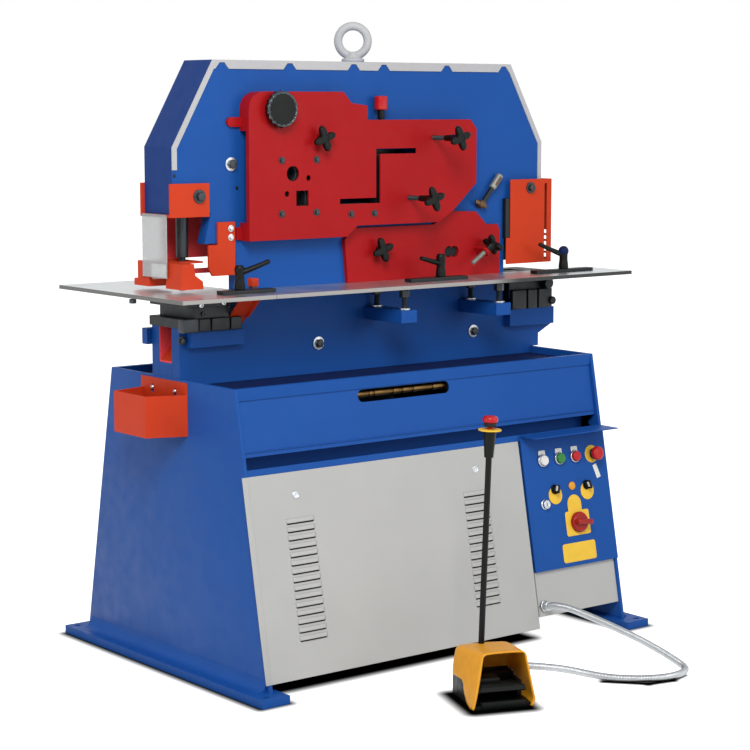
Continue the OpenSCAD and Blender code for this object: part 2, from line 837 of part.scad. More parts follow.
// A sheet that slopes down to the frame in front, and one that leads the slugs out at the left
module slug_chutes() {
    lean = 1.08;
    fold = 16;
    fold_y = frame_front - 20;
    reach = (table_low - left_bed) * lean;
    color(orange) above_base() {
        translate([chute_x[0], 0, 0]) rotate([90, 0, 90]) linear_extrude(chute_x[1] - chute_x[0])
            polygon([[frame_front, left_bed - 5], [frame_front, left_bed],
                [frame_front - reach + 5, table_low], [frame_front - reach, table_low]]);
        translate([chute_x[1] - sheet_t, 0, 0]) rotate([90, 0, 90]) linear_extrude(sheet_t)
            polygon([[fold_y, left_bed + 20], [frame_front - reach + 2, table_low],
                [frame_front - reach - fold, table_low], [fold_y - fold, left_bed + 20]]);
        slab(gap_front + 1, plate_gap - 2)
            polygon([[low_x, chute_lip], [lip_x, left_bed - 12], [lip_x, spacer_top],
                [lip_x + sheet_t, spacer_top], [lip_x + sheet_t, left_bed - 8], [lip_x, left_bed - 8],
                [low_x, chute_lip + 5]]);
        slab(gap_back - 4, 3) polygon([[low_x, chute_lip], [low_x, left_bed - 1], [lip_x, left_bed - 1],
            [lip_x, left_bed - 12]]);
    }
}

module notcher_die() {
    x = [right_throat + 6, right_x + 30];
    color(black) above_base() difference() {
        slab(frame_front - 20, frame_back - frame_front + 20)
            polygon([[x[0] + throat_r, right_bed], [x[1], right_bed], [x[1], table_top],
                [x[0], table_top], [x[0], right_bed + throat_r]]);
        block([x[0] - 1, x[1] + 1], [frame_front - 21, frame_front], [table_low, table_top + 1]);
        notch_column([right_bed - 1, table_top + 1], 0.5);
    }
}

module guard_spacers() {
    color(black) above_base() {
        block([notch_guard_x[0], notch_guard_x[0] + 20], [notch_guard_y, frame_front], [1134, 1252]);
        bar_along_y(guard_bolt[0], guard_bolt[1], [notch_guard_y, frame_front], 30);
    }
}

module notcher_guard() {
    front = [notch_guard_y - notch_guard_t, notch_guard_y];
    side = [notch_guard_x[1] - notch_guard_t, notch_guard_x[1]];
    color(orange) above_base() difference() {
        union() {
            block(notch_guard_x, front, notch_guard_z);
            block(side, [front[0], frame_back], notch_guard_z);
        }
        block([notch_guard_x[0] - 1, notch_guard_x[0] + 16], [front[0] - 1, front[1] + 1],
            [1134, notch_guard_z[1] + 1]);
        block(slit_x, [front[0] - 1, front[1] + 1], [notch_guard_z[0] + 10, notch_guard_z[1] - 14]);
        for (i = [0:4]) translate([side[0] - 1, frame_front, notch_guard_z[0] + 14 + 18 * i])
            cube([notch_guard_t + 2, 110, 11]);
    }
}

// The angle slot's outline through the guard and the blades behind it
module angle_slot(y, t) {
    w = angle_slot_w / 2;
    low = 1262;
    high = 1400;
    x = 3;
    slab(y, t) polygon([[x - 136, low - w], [x + w, low - w], [x + w, high - w], [x + 139, high - w],
        [x + 139, high + w], [x - w, high + w], [x - w, low + w], [x - 136, low + w]]);
}

// The holes for round and square bar through the guard and the blade behind it
module bar_holes(y) {
    bar_along_y(-295, 1343, y, 42);
    block([-284, -242], y, [1254, 1296]);
}

module upper_guard() {
    inside = [guard_front - 1, frame_front];
    color(red) above_base() difference() {
        union() {
            slab(guard_front, guard_d) polygon(guard_points);
            slab(frame_front - 8, 8) {
                translate([guard_left - 31, 1471]) square([32, 26]);
                translate([guard_left - 31, 1484]) circle(d = 26);
                translate([guard_left - 17, 1166]) square([18, 34]);
            }
        }
        slab(guard_front + guard_wall, guard_d) polygon(inset(guard_points, guard_wall));
        block([guard_left - 1, guard_left + guard_wall + 1], [guard_front + 14, frame_front + 1],
            [1212, 1460]);
        bar_holes(inside);
        for (p = [[-242, 1330], [-315, 1288]]) bar_along_y(p[0], p[1], inside, 16);
        angle_slot(guard_front - 1, guard_wall + 2);
        for (p = [dial_at, top_at, upper_at, lower_at])
            bar_along_y(p[0], p[1], inside, screw_d + 2 * run_gap);
        translate([plunger_x, plunger_y, guard_step - guard_wall - 1])
            cylinder(d = plunger_d + 2 * run_gap, h = guard_wall + 2);
    }
}

// Children along the sloping screw on the lower guard, with local Z up along it
module at_side_screw() {
    translate([side_at[0], side_y, side_at[1]]) rotate([0, side_tilt, 0]) children();
}

// The obround hole through the lower guard and the frame plate behind it
module sight_hole(y) {
    for (x = [-11, 11]) bar_along_y(sight_at[0] + x, sight_at[1], y, 33);
}

module lower_guard() {
    color(red) above_base() difference() {
        union() {
            slab(low_front, low_guard_t) polygon(low_points);
            at_side_screw() translate([0, 0, boss_l - tab_t]) {
                cylinder(d = screw_d + 14, h = tab_t);
                block([-14, 14], [0, low_front - side_y + 1], [0, tab_t]);
            }
        }
        sight_hole([low_front - 1, frame_front + 1]);
        bar_along_y(low_screw_at[0], low_screw_at[1], [low_front - 1, frame_front + 1],
            screw_d + 2 * run_gap);
        at_side_screw() translate([0, 0, -1]) cylinder(d = screw_d + 2 * run_gap, h = boss_l + 2);
    }
}

module shear_blades() {
    color("#70757a") above_base() difference() {
        block(window_x, [frame_front, frame_front + blade_t], window_z);
        angle_slot(frame_front - 1, blade_t + 2);
    }
    color("#70757a") above_base() difference() {
        block(bar_blade_x, [frame_front - blade_t, frame_front], bar_blade_z);
        bar_holes([frame_front - blade_t - 1, frame_front + 1]);
    }
}

// An open box of sheet metal hung on the left side plate
module parts_box() {
    t = sheet_t;
    x = -side_x;
    low = base_h - 150;
    high = base_h - 6;
    mouth = base_h - 38;
    key_z = base_h - 42;
    color(orange) difference() {
        union() {
            block([x - t, x], [-84, 145], [low, high]);
            translate([x, 0, low]) linear_extrude(mouth - low)
                polygon([[0, -84], [0, 145], [-box_out, 118], [-box_out, -41]]);
        }
        translate([x, 0, low + t]) linear_extrude(mouth - low)
            polygon([[-t, -84 + 2 * t], [-t, 145 - 2 * t], [-box_out + t, 118 - t],
                [-box_out + t, -41 + t]]);
        for (y = [-27, 86]) {
            translate([x - t - 1, y, key_z]) rotate([0, 90, 0]) cylinder(d = 14, h = t + 2);
            block([x - t - 1, x + 1], [y - 3.5, y + 3.5], [key_z, key_z + 18]);
        }
    }
}

// A hexagon bolt head on a washer, on a face at y that looks to the front
module bolt_head(at, y, s) {
    washer = s / 6;
    bar_along_y(at[0], at[1], [y - washer, y], 1.7 * s);
    translate([at[0], y - washer, at[1]]) rotate([90, 0, 0])
        cylinder(d = 1.15 * s, h = 0.5 * s, $fn = 6);
}

// A threaded stud between a bracket and the table, with its washer and nut
module table_stud(x, y) {
    translate([x, y, bracket_top]) {
        cylinder(d = 16, h = table_low - bracket_top);
        cylinder(d = 34, h = 5);
    }
    translate([x, y, table_low - 22]) cylinder(d = 30, h = 22, $fn = 6);
}

module bolts() {
    color(steel) above_base() {
        for (p = [[-470, 1371], [-178, 864], [399, 860]]) bolt_head(p, frame_front, 22);
        for (p = [[-333, 1380], [-214, 1380], [-334, 1234], [-215, 1235], [-94, 1226], [-11, 1226]])
            bolt_head(p, guard_front, 12);
        bolt_head([ram_x + 7, left_jaw + 47], frame_front - bracket_t, 22);
        for (z = [1174, 1198]) bolt_head([-477, z], frame_front - bracket_t, 11);
        for (x = bracket_x, y = stud_y) table_stud(x, y);
        bolt_head(guard_bolt, notch_guard_y - notch_guard_t, 20);
        bolt_head([punch_shelf_x[0] - 14, 902], frame_front, 14);
        for (x = [-400, 500]) translate([x, frame_back, 860]) rotate([-90, 0, 0])
            cylinder(d = 34, h = 10, $fn = 6);
    }
    color(steel) for (x = lock_x) on_front(x, lock_z) difference() {
        cylinder(d = 22, h = 3);
        translate([0, 0, 3]) cube([18, 3, 3], center = true);
    }
}

module clamp_bars() {
    color(black) above_base() for (i = [0:2])
        block([lever_at[i] - bar_left[i], lever_at[i] + bar_right[i]],
            [bar_y - bar_w / 2, bar_y + bar_w / 2], [table_top, table_top + bar_t]);
}

// A clamp handle that turns about the vertical through its hub
module clamp_lever(x, turn) {
    neck = lever_h - 10;
    color(black) above_base() translate([x, bar_y, table_top + bar_t + seat_gap]) rotate([0, 0, turn]) {
        cylinder(d = 26, h = 8);
        translate([0, 0, 8]) cylinder(d1 = 26, d2 = 20, h = neck - 8);
        translate([0, 0, neck]) sphere(d = 24);
        translate([0, 0, neck + 2]) rotate([0, lever_tilt, 0])
            cylinder(d1 = 14, d2 = 9, h = handle_l);
    }
}

module clamp_lever_left() { clamp_lever(lever_at[0], -30); }
module clamp_lever_middle() { clamp_lever(lever_at[1], 180); }
module clamp_lever_right() { clamp_lever(lever_at[2], 145); }

// A four-lobed knob with its screw, along local Z from the face at z = 0
module star_knob(reach, inside) {
    lobe = star_d * 0.27;
    translate([0, 0, -inside]) cylinder(d = screw_d, h = inside + reach);
    translate([0, 0, reach]) {
        cylinder(d1 = 24, d2 = 32, h = 16);
        for (a = [0:90:270]) rotate([0, 0, a + 20]) {
            translate([(star_d - lobe) / 2, 0, 6]) cylinder(d = lobe, h = 16);
            translate([0, -lobe * 0.4, 6]) cube([(star_d - lobe) / 2, lobe * 0.8, 16]);
        }
    }
}

module star_on_guard(at, y, reach) {
    color(black) above_base() translate([at[0], y, at[1]]) rotate([90, 0, 0]) star_knob(reach, screw_in);
}

module star_knob_top() { star_on_guard(top_at, guard_front, 12); }
module star_knob_upper() { star_on_guard(upper_at, guard_front, 104); }
module star_knob_lower() { star_on_guard(lower_at, guard_front, 98); }
module star_knob_front() { star_on_guard(low_screw_at, low_front, 12); }

module star_knob_side() {
    color(black) above_base() at_side_screw() translate([0, 0, boss_l]) star_knob(16, boss_l + 10);
}

module dial_knob() {
    color(black) above_base() translate([dial_at[0], guard_front, dial_at[1]]) rotate([90, 0, 0]) {
        translate([0, 0, -screw_in]) cylinder(d = screw_d, h = screw_in + 10);
        translate([0, 0, 6]) cylinder(d = dial_d, h = 22);
    }
}

module index_plunger() {
    color(red) above_base() translate([plunger_x, plunger_y, guard_step]) {
        translate([0, 0, -24]) cylinder(d = plunger_d, h = 58);
        translate([0, 0, 2]) cylinder(d = 20, h = 28);
        translate([0, 0, 28]) cylinder(d = 38, h = 39);
    }
}

module cam_lever() {
    color(steel) above_base() translate([cam_at[0], frame_front - seat_gap, cam_at[1]]) rotate([90, 0, 0]) {
        cylinder(d = 30, h = 26);
        rotate([0, 0, cam_turn]) {
            translate([0, -7, 8]) cube([66, 14, 12]);
            translate([62, 0, 14]) rotate([0, 90, 0]) cylinder(d = 22, h = 50);
        }
    }
}

module panel_plates() {
    color(yellow) difference() {
        union() {
            for (x = selector_x) on_front(x + 4, selector_z - 19) translate([0, 0, panel_t])
                cylinder(d = 46, h = tag_t);
            on_front(switch_at[0], switch_at[1]) translate([0, 0, panel_t]) {
                translate([-48, -38, 0]) cube([95, 72, tag_t]);
                translate([-33, 30, 0]) cube([54, 24, tag_t]);
                translate([-6, 54, 0]) cylinder(d = 54, h = tag_t);
            }
            on_front(plate_at[0], plate_at[1]) translate([-65, -32, panel_t]) cube([130, 62, tag_t]);
            on_front(stop_x, button_z) translate([0, 0, panel_t]) cylinder(d = 52, h = tag_t);
        }
        stem_holes();
    }
    color(yellow) on_front(lamp_at[0], lamp_at[1]) translate([0, 0, panel_t])
        cylinder(d = 24, h = 8);
    color(grey) {
        for (x = [white_x, green_x, red_x])
            on_front(x + 4, button_z + 25) translate([-13, -8, panel_t]) cube([26, 17, tag_t]);
        on_front(stop_x + 12, button_z - 51) rotate([0, 0, 18]) translate([-8, -21, panel_t])
            cube([16, 42, tag_t]);
        on_front(key_at[0], key_at[1]) translate([0, 0, panel_t]) cylinder(d = 30, h = 14);
    }
}

// A push button: a head that travels on a stem in the panel's hole
module push_button(x, c) {
    color(c) on_front(x, button_z) {
        translate([0, 0, -stem_in]) cylinder(d = stem_d, h = stem_in + panel_t + press_gap + 1);
        translate([0, 0, panel_t + press_gap]) cylinder(d = button_d, h = 10);
    }
}

module button_white() { push_button(white_x, "#e8e8e6"); }
module button_green() { push_button(green_x, "#3f8a3a"); }
module button_red() { push_button(red_x, red); }

// An emergency stop: a mushroom head on a stem along local Z
module stop_head(stem) {
    translate([0, 0, -stem_in]) cylinder(d = stem_d, h = stem_in + stem + 1);
    translate([0, 0, stem]) cylinder(d1 = stop_d - 8, d2 = stop_d, h = 8);
    translate([0, 0, stem + 8]) cylinder(d1 = stop_d, d2 = stop_d - 8, h = 12);
}

module panel_stop() {
    color(red) on_front(stop_x, button_z) translate([0, 0, panel_t + tag_t]) stop_head(14);
}

// A rotary selector: a round body with a bar handle
module selector(x, turn) {
    body = panel_t + tag_t + seat_gap;
    color(black) on_front(x, selector_z) {
        translate([0, 0, -stem_in]) cylinder(d = stem_d, h = stem_in + body + 1);
        translate([0, 0, body]) cylinder(d = 28, h = 8);
        rotate([0, 0, turn]) translate([-16, -5, body + 7]) cube([32, 10, 14]);
    }
}

module selector_left() { selector(selector_x[0], 75); }
module selector_right() { selector(selector_x[1], 105); }

module main_switch() {
    body = panel_t + tag_t + seat_gap;
    color(red) on_front(switch_at[0], switch_at[1]) {
        translate([0, 0, -stem_in]) cylinder(d = stem_d, h = stem_in + body + 1);
        translate([0, 0, body]) cylinder(d = 60, h = 14);
        rotate([0, 0, -20]) translate([-26, -8, body + 13]) cube([60, 16, 18]);
    }
}

// Children in the pedal unit's own frame, whose front looks along local -Y
module at_pedal() {
    translate([pedal_at[0], pedal_at[1], 0]) rotate([0, 0, pedal_turn]) children();
}

// Children along the pole, with local Z up along it from the top of the pedal base
module at_pole(z) {
    at_pedal() translate([pole_x, pole_y, block_h]) rotate([0, pole_lean, 0])
        translate([0, 0, z - block_h]) children();
}

// A profile drawn as depth and height, carried w across the pedal
module across_pedal(w) {
    rotate([90, 0, 90]) linear_extrude(w, center = true) children();
}

module pedal_hood() {
    back = base_back + hood_t;
    color(yellow) at_pedal() difference() {
        across_pedal(hood_w) polygon([[back, cheek_low], [back, hood_h - 8], [back - 22, hood_h],
            [-34, hood_h], [-100, 14], [-92, 4], [-80, 4], [-52, cheek_low - 6]]);
        across_pedal(2 * base_half) polygon([[base_back, 0], [base_back, hood_h - 10],
            [back - 24, hood_h - hood_t], [-120, hood_h - hood_t], [-120, 0]]);
        translate([pole_x, pole_y, hood_h - 20]) cylinder(d = pole_d + 10, h = 40);
    }
}

module pedal_base() {
    color(black) {
        at_pedal() {
            block([-base_half, base_half], [-86, base_back], [0, 10]);
            block([-base_half, base_half], [block_y, base_back], [0, block_h]);
            for (s = [-1, 1]) translate([s * (base_half - 9), 0, 0])
                block([-6, 6], [-14, block_y + 1], [0, cheek_low - 2]);
            translate([0, pedal_axis_y, pedal_axis_z]) rotate([0, 90, 0])
                cylinder(d = pedal_pin_d, h = 2 * base_half - 10, center = true);
        }
        at_pole(block_h - 4) cylinder(d = pole_d, h = pole_h - block_h + 5);
        difference() {
            at_pole(pole_h) cylinder(d1 = pole_d + 8, d2 = 34, h = grip_h);
            at_pole(pole_h + grip_h - stem_in - 8)
                cylinder(d = stem_d + 4 * run_gap, h = stem_in + 10);
        }
    }
    color(yellow) difference() {
        at_pole(pole_h + grip_h) cylinder(d = 60, h = tag_t + 2);
        at_pole(pole_h + grip_h - 1) cylinder(d = stem_d + 4 * run_gap, h = tag_t + 4);
    }
}

module foot_pedal() {
    half = base_half - 18;
    color(black) at_pedal() difference() {
        union() {
            translate([0, pedal_axis_y, pedal_axis_z]) rotate([0, 90, 0])
                cylinder(d = 2 * pedal_pin_d, h = 2 * half, center = true);
            across_pedal(2 * half) polygon([[pedal_axis_y, pedal_axis_z - 8],
                [pedal_axis_y, pedal_axis_z + 8], [-78, 56], [-84, 46], [-80, 42]]);
        }
        translate([0, pedal_axis_y, pedal_axis_z]) rotate([0, 90, 0])
            cylinder(d = pedal_pin_d + 2 * run_gap, h = 4 * half, center = true);
    }
}

module pole_stop() {
    color(red) at_pole(pole_h + grip_h + tag_t + 2) stop_head(14);
}

// A round tube swept along the hose route
function tangent(p, i) = unit(p[min(i + 1, len(p) - 1)] - p[max(i - 1, 0)]);
function ring(p, i, r) = let (t = tangent(p, i), u = unit(cross(t, [0, 0, 1])), v = cross(u, t))
    [for (k = [0:hose_sides - 1]) let (a = 360 * k / hose_sides) p[i] + r * (cos(a) * u + sin(a) * v)];

module tube(p, r) {
    n = len(p);
    m = hose_sides;
    points = [for (i = [0:n - 1]) each ring(p, i, r)];
    walls = [for (i = [0:n - 2], k = [0:m - 1]) let (j = (k + 1) % m)
        each [[i * m + k, i * m + j, i * m + m + j], [i * m + k, i * m + m + j, i * m + m + k]]];
    near = [for (k = [1:m - 2]) [0, k + 1, k]];
    far = [for (k = [1:m - 2]) [n * m - m, n * m - m + k, n * m - m + k + 1]];
    polyhedron(points, concat(walls, near, far));
}

module hose() {
    color("#bebebe") tube(hose_route, hose_d / 2);
}

base_sides();
base_frame();
cabinet_covers();
control_box();
power_pack();
frame_plates();
frame_skin();
edge_trim();
frame_spacers();
lifting_eye();
pivot_pin();
rocker_beam();
cylinder_barrel();
cylinder_rod();
punch_ram();
notch_ram();
punch_table();
front_table();
table_brackets();
die_holder();
punch_die();
punch_bracket();
stripper();
clear_guard();
gauge_plate();
slug_chutes();
notcher_die();
guard_spacers();
notcher_guard();
upper_guard();
lower_guard();
shear_blades();
parts_box();
bolts();
clamp_bars();
clamp_lever_left();
clamp_lever_middle();
clamp_lever_right();
star_knob_top();
star_knob_upper();
star_knob_lower();
star_knob_front();
star_knob_side();
dial_knob();
index_plunger();
cam_lever();
panel_plates();
button_white();
button_green();
button_red();
panel_stop();
selector_left();
selector_right();
main_switch();
hose_gland();
hose();
pedal_base();
pedal_hood();
foot_pedal();
pole_stop();
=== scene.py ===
import json
import math

import bmesh
import bpy
import numpy as np
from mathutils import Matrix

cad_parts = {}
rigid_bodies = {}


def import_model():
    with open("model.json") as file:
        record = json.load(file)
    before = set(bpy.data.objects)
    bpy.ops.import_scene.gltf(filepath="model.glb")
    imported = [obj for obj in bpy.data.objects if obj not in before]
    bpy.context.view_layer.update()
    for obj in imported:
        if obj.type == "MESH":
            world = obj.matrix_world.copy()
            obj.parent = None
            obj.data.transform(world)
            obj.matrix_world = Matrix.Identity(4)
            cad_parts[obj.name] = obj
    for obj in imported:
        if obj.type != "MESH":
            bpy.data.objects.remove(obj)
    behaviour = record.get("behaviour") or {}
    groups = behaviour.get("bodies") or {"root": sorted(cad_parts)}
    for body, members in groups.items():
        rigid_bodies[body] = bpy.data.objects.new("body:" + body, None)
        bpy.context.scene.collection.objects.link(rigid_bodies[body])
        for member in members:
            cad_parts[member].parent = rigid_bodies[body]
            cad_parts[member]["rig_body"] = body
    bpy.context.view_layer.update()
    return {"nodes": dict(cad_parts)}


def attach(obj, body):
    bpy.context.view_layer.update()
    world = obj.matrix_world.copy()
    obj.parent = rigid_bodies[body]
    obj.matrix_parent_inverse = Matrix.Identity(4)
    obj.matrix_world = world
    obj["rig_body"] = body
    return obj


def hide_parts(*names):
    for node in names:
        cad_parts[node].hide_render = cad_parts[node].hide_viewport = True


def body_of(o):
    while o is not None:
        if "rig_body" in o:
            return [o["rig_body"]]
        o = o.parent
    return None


bl_info = {
    "name": "Ironworker machine",
    "version": (1, 0, 0),
    "blender": (4, 5, 0),
    "location": "View3D > Sidebar > Ironworker",
    "description": "Dresses the packed ironworker in paint, steel and plastic",
    "category": "Object",
}

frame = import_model()

MM = 0.001

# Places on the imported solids: lengths in millimetres, turns in degrees, the front's tilt in radians
FRONT_TILT = math.atan(150 / 775)
FRONT_FOOT_Y = -455.0
FOOT_TOP = 23.0
SIDE_X = 643.0
LOUVRE_X = (-484, 127)
DECK_TOP = 778.0
FRAME_FRONT = -44.0
FRAME_BACK = 92.0
FRAME_MID = 24.0
FRAME_TOP = 1650.0
GUARD_FRONT = -89.0
LOW_FRONT = -59.0
BRACKET_FRONT = -52.0
NOTCHER_FRONT = -63.0
TABLE_TOP = 1030.0
BAR_Y = -150.0
PEDAL_AT = (-175, -790)
PEDAL_TURN = -21.0
POLE_LEAN = 2.0
POLE_TOP = 700.0
CAM_TURN = 49.0

# Control panel, in millimetres
PANEL_T = 4.0
STEM_IN = -18.0
BUTTON_Z = 510.0
SELECTOR_Z = 424.0
STOP_X = 585.0
SWITCH_AT = (499, 322)
KEY_AT = (377, 386)


# Colours and sizes that a user would change

def linear(code):
    """An sRGB hex code as linear red, green, blue and alpha."""
    value = np.array([int(code[i:i + 2], 16) for i in (1, 3, 5)]) / 255
    low = value / 12.92
    high = ((value + 0.055) / 1.055) ** 2.4
    return (*np.where(value <= 0.04045, low, high).tolist(), 1.0)


def colour(name, code, text):
    """A colour setting whose default is an sRGB hex code."""
    return bpy.props.FloatVectorProperty(
        name=name, description=text, subtype="COLOR", size=4, min=0, max=1, default=linear(code))


def length(name, mm, text):
    """A length setting whose default is given in millimetres."""
    return bpy.props.FloatProperty(
        name=name, description=text, unit="LENGTH", subtype="DISTANCE", min=0, default=mm * MM)


class IronworkerColours(bpy.types.PropertyGroup):
    """Paint and plastic colours of the machine"""
    blue: colour("Blue paint", "#184D98", "Powder coat of the frame and the base")
    red: colour("Red paint", "#A01317", "Powder coat of the guards")
    orange: colour("Orange paint", "#C43B1C", "Powder coat of the brackets and the parts box")
    grey: colour("Grey paint", "#B4B4B2", "Powder coat of the cabinet covers")
    trim: colour("Light trim", "#B5B5B7", "Edge strip along the frame")
    yellow: colour("Yellow plastic", "#E09A22", "Hood of the foot pedal")
    label: colour("Yellow plates", "#E8BC3A", "Plain plates on the control panel")
    black: colour("Black plastic", "#0A0D0C", "Knobs, levers and handles")


class IronworkerSizes(bpy.types.PropertyGroup):
    """Sizes of the details that the solids leave plain"""
    plate_edge: length("Plate edge", 1.5, "Rounding of the thick plates' edges")
    sheet_edge: length("Sheet edge", 0.8, "Rounding of sheet metal edges")
    louvre_rise: length("Louvre rise", 5.0, "Height of a pressed louvre")
    hose_pitch: length("Hose pitch", 4.0, "Distance between two ribs of the metal hose")
    thread_pitch: length("Thread pitch", 3.0, "Pitch of the knobs' screws, coarse enough to show")


def colours():
    """The scene's colour settings."""
    return bpy.context.scene.ironworker_colours


def sizes():
    """The scene's size settings."""
    return bpy.context.scene.ironworker_sizes


# Materials

def per_metre(mm):
    """Texture scale for features of a size in millimetres."""
    return 1 / (mm * MM)


def shade(value, share):
    """A colour made lighter or darker by a share."""
    return (*[min(1.0, v * share) for v in value[:3]], 1.0)


def add(tree, kind, inputs, **settings):
    """Adds a node; inputs gives each socket a value or another node's output."""
    node = tree.nodes.new("ShaderNode" + kind)
    for key, value in settings.items():
        setattr(node, key, value)
    for key, value in inputs.items():
        if isinstance(value, bpy.types.NodeSocket):
            tree.links.new(value, node.inputs[key])
        else:
            node.inputs[key].default_value = value
    return node


def start(name):
    """A new material with its tree, its shader and the object's own coordinates."""
    material = bpy.data.materials.new(name)
    material.use_nodes = True
    tree = material.node_tree
    place = add(tree, "TexCoord", {}).outputs["Object"]
    return material, tree, tree.nodes["Principled BSDF"], place


def surface(tree, shader, tone, rough, height, strength, distance):
    """Links colour, roughness and a bump of that height to the shader."""
    bump = add(tree, "Bump", {"Height": height, "Strength": strength, "Distance": distance * MM})
    tree.links.new(tone, shader.inputs["Base Color"])
    tree.links.new(rough, shader.inputs["Roughness"])
    tree.links.new(bump.outputs[0], shader.inputs["Normal"])


def noise(tree, place, size, detail):
    """Noise with features of a size in millimetres."""
    inputs = {"Vector": place, "Scale": per_metre(size), "Detail": detail}
    return add(tree, "TexNoise", inputs).outputs[0]


def streaks(tree, place, stretch, detail, tilt=0.0):
    """Noise with its own size in millimetres along each axis, tilted about X."""
    scale = [per_metre(mm) for mm in stretch]
    local = add(tree, "Mapping", {"Vector": place, "Rotation": (tilt, 0.0, 0.0), "Scale": scale})
    return add(tree, "TexNoise", {"Vector": local.outputs[0], "Scale": 1.0, "Detail": detail}).outputs[0]


def blend(tree, share, one, other):
    """A colour between two, by a share from 0 to 1."""
    return add(tree, "Mix", {0: share, 6: one, 7: other}, data_type="RGBA").outputs[2]


def ramp(tree, value, given, wanted=(0.0, 1.0), **settings):
    """A value carried from a given range to a wanted one."""
    limits = {0: value, 1: given[0], 2: given[1], 3: wanted[0], 4: wanted[1]}
    return add(tree, "MapRange", limits, **settings).outputs[0]


def combine(tree, operation, one, other):
    """Two values put together by an operation."""
    return add(tree, "Math", {0: one, 1: other}, operation=operation).outputs[0]


def powder_coat(name, value, gloss):
    """Baked powder paint on steel: satin, evenly coloured, with a soft orange peel that breaks up
    reflections, faint patches where the film is thicker and a few handling marks."""
    material, tree, shader, place = start(name)
    patches = noise(tree, place, 220, 3.0)
    marks = noise(tree, place, 35, 7.0)
    peel = noise(tree, place, 3.5, 1.0)
    tone = blend(tree, patches, shade(value, 0.92), shade(value, 1.08))
    rough = ramp(tree, marks, (0.3, 0.7), (gloss - 0.04, gloss + 0.08))
    shader.inputs["Specular IOR Level"].default_value = 0.12
    surface(tree, shader, tone, rough, peel, 0.12, 0.25)
    return material


def ground_steel(name, code, gloss):
    """Surface-ground steel plate: bright metal with fine straight grinding lines along X, 0.4 mm apart
    on the real one and drawn at 1.5 mm so that they show, and a few dull handling patches."""
    material, tree, shader, place = start(name)
    lines = streaks(tree, place, (160, 1.5, 1.5), 3.0)
    patches = noise(tree, place, 90, 5.0)
    value = linear(code)
    both = combine(tree, "MULTIPLY", lines, patches)
    tone = blend(tree, lines, shade(value, 0.82), shade(value, 1.1))
    rough = ramp(tree, both, (0.1, 0.45), (gloss - 0.06, gloss + 0.12))
    shader.inputs["Metallic"].default_value = 1.0
    surface(tree, shader, tone, rough, lines, 0.1, 0.1)
    return material


def oxide_steel(name, code, gloss):
    """Machined steel with a black oxide film: dark, slightly oily, cloudy in tone and gloss, with the
    fine grain left by the tool."""
    material, tree, shader, place = start(name)
    cloud = noise(tree, place, 30, 6.0)
    grain = noise(tree, place, 1.2, 2.0)
    value = linear(code)
    tone = blend(tree, cloud, shade(value, 0.7), shade(value, 1.35))
    rough = ramp(tree, cloud, (0.3, 0.7), (gloss - 0.08, gloss + 0.1))
    shader.inputs["Metallic"].default_value = 0.55
    surface(tree, shader, tone, rough, grain, 0.15, 0.15)
    return material


def planed_edge(name):
    """Edge of a thick steel plate: planed bright along the left and the middle, darker on the right,
    from
    280 to 420 mm on, half dark on the left end face, with fine upright marks."""
    material, tree, shader, place = start(name)
    across = add(tree, "SeparateXYZ", {0: place}).outputs[0]
    right = ramp(tree, across, (0.28, 0.42), interpolation_type="SMOOTHSTEP")
    left = ramp(tree, across, (-0.7545, -0.7565), (0.0, 0.6))
    dark = combine(tree, "MAXIMUM", right, left)
    marks = streaks(tree, place, (1.5, 1.5, 60), 3.0)
    tone = blend(tree, dark, linear("#94928F"), linear("#2A2B2C"))
    rough = ramp(tree, marks, (0.3, 0.7), (0.32, 0.5))
    shader.inputs["Metallic"].default_value = 0.3
    surface(tree, shader, tone, rough, marks, 0.1, 0.1)
    return material


def plated_steel(name, code, gloss):
    """Zinc-plated steel: bright metal, cloudy in tone, whose gloss changes with the crystals of the
    plating."""
    material, tree, shader, place = start(name)
    spangle = add(tree, "TexVoronoi", {"Vector": place, "Scale": per_metre(4)}).outputs[0]
    cloud = noise(tree, place, 18, 4.0)
    value = linear(code)
    tone = blend(tree, cloud, shade(value, 0.8), shade(value, 1.12))
    rough = ramp(tree, spangle, (0.0, 0.8), (gloss - 0.05, gloss + 0.1))
    shader.inputs["Metallic"].default_value = 1.0
    surface(tree, shader, tone, rough, cloud, 0.08, 0.1)
    return material


def moulded(name, value, gloss, shine=0.3):
    """Injection-moulded plastic: even colour with the fine spark-eroded grain of the mould, 0.3 mm on
    the real one and drawn at 0.9 mm, and slightly shinier worn patches."""
    material, tree, shader, place = start(name)
    wear = noise(tree, place, 25, 4.0)
    grain = noise(tree, place, 0.9, 1.0)
    tone = blend(tree, wear, shade(value, 0.9), shade(value, 1.12))
    rough = ramp(tree, wear, (0.3, 0.7), (gloss + 0.06, gloss - 0.06))
    shader.inputs["Specular IOR Level"].default_value = shine
    surface(tree, shader, tone, rough, grain, 0.18, 0.12)
    return material


def clear_sheet(name):
    """Polycarbonate sheet: half see-through with a faint grey tint, fine wiping scratches that catch
    the light and a little haze."""
    material, tree, shader, place = start(name)
    wipes = streaks(tree, place, (2, 40, 1.5), 4.0, 0.6)
    tone = blend(tree, wipes, linear("#B4BEC3"), linear("#D9D2CF"))
    rough = ramp(tree, wipes, (0.3, 0.8), (0.05, 0.3))
    shader.inputs["Transmission Weight"].default_value = 0.55
    shader.inputs["IOR"].default_value = 1.58
    surface(tree, shader, tone, rough, wipes, 0.06, 0.1)
    return material


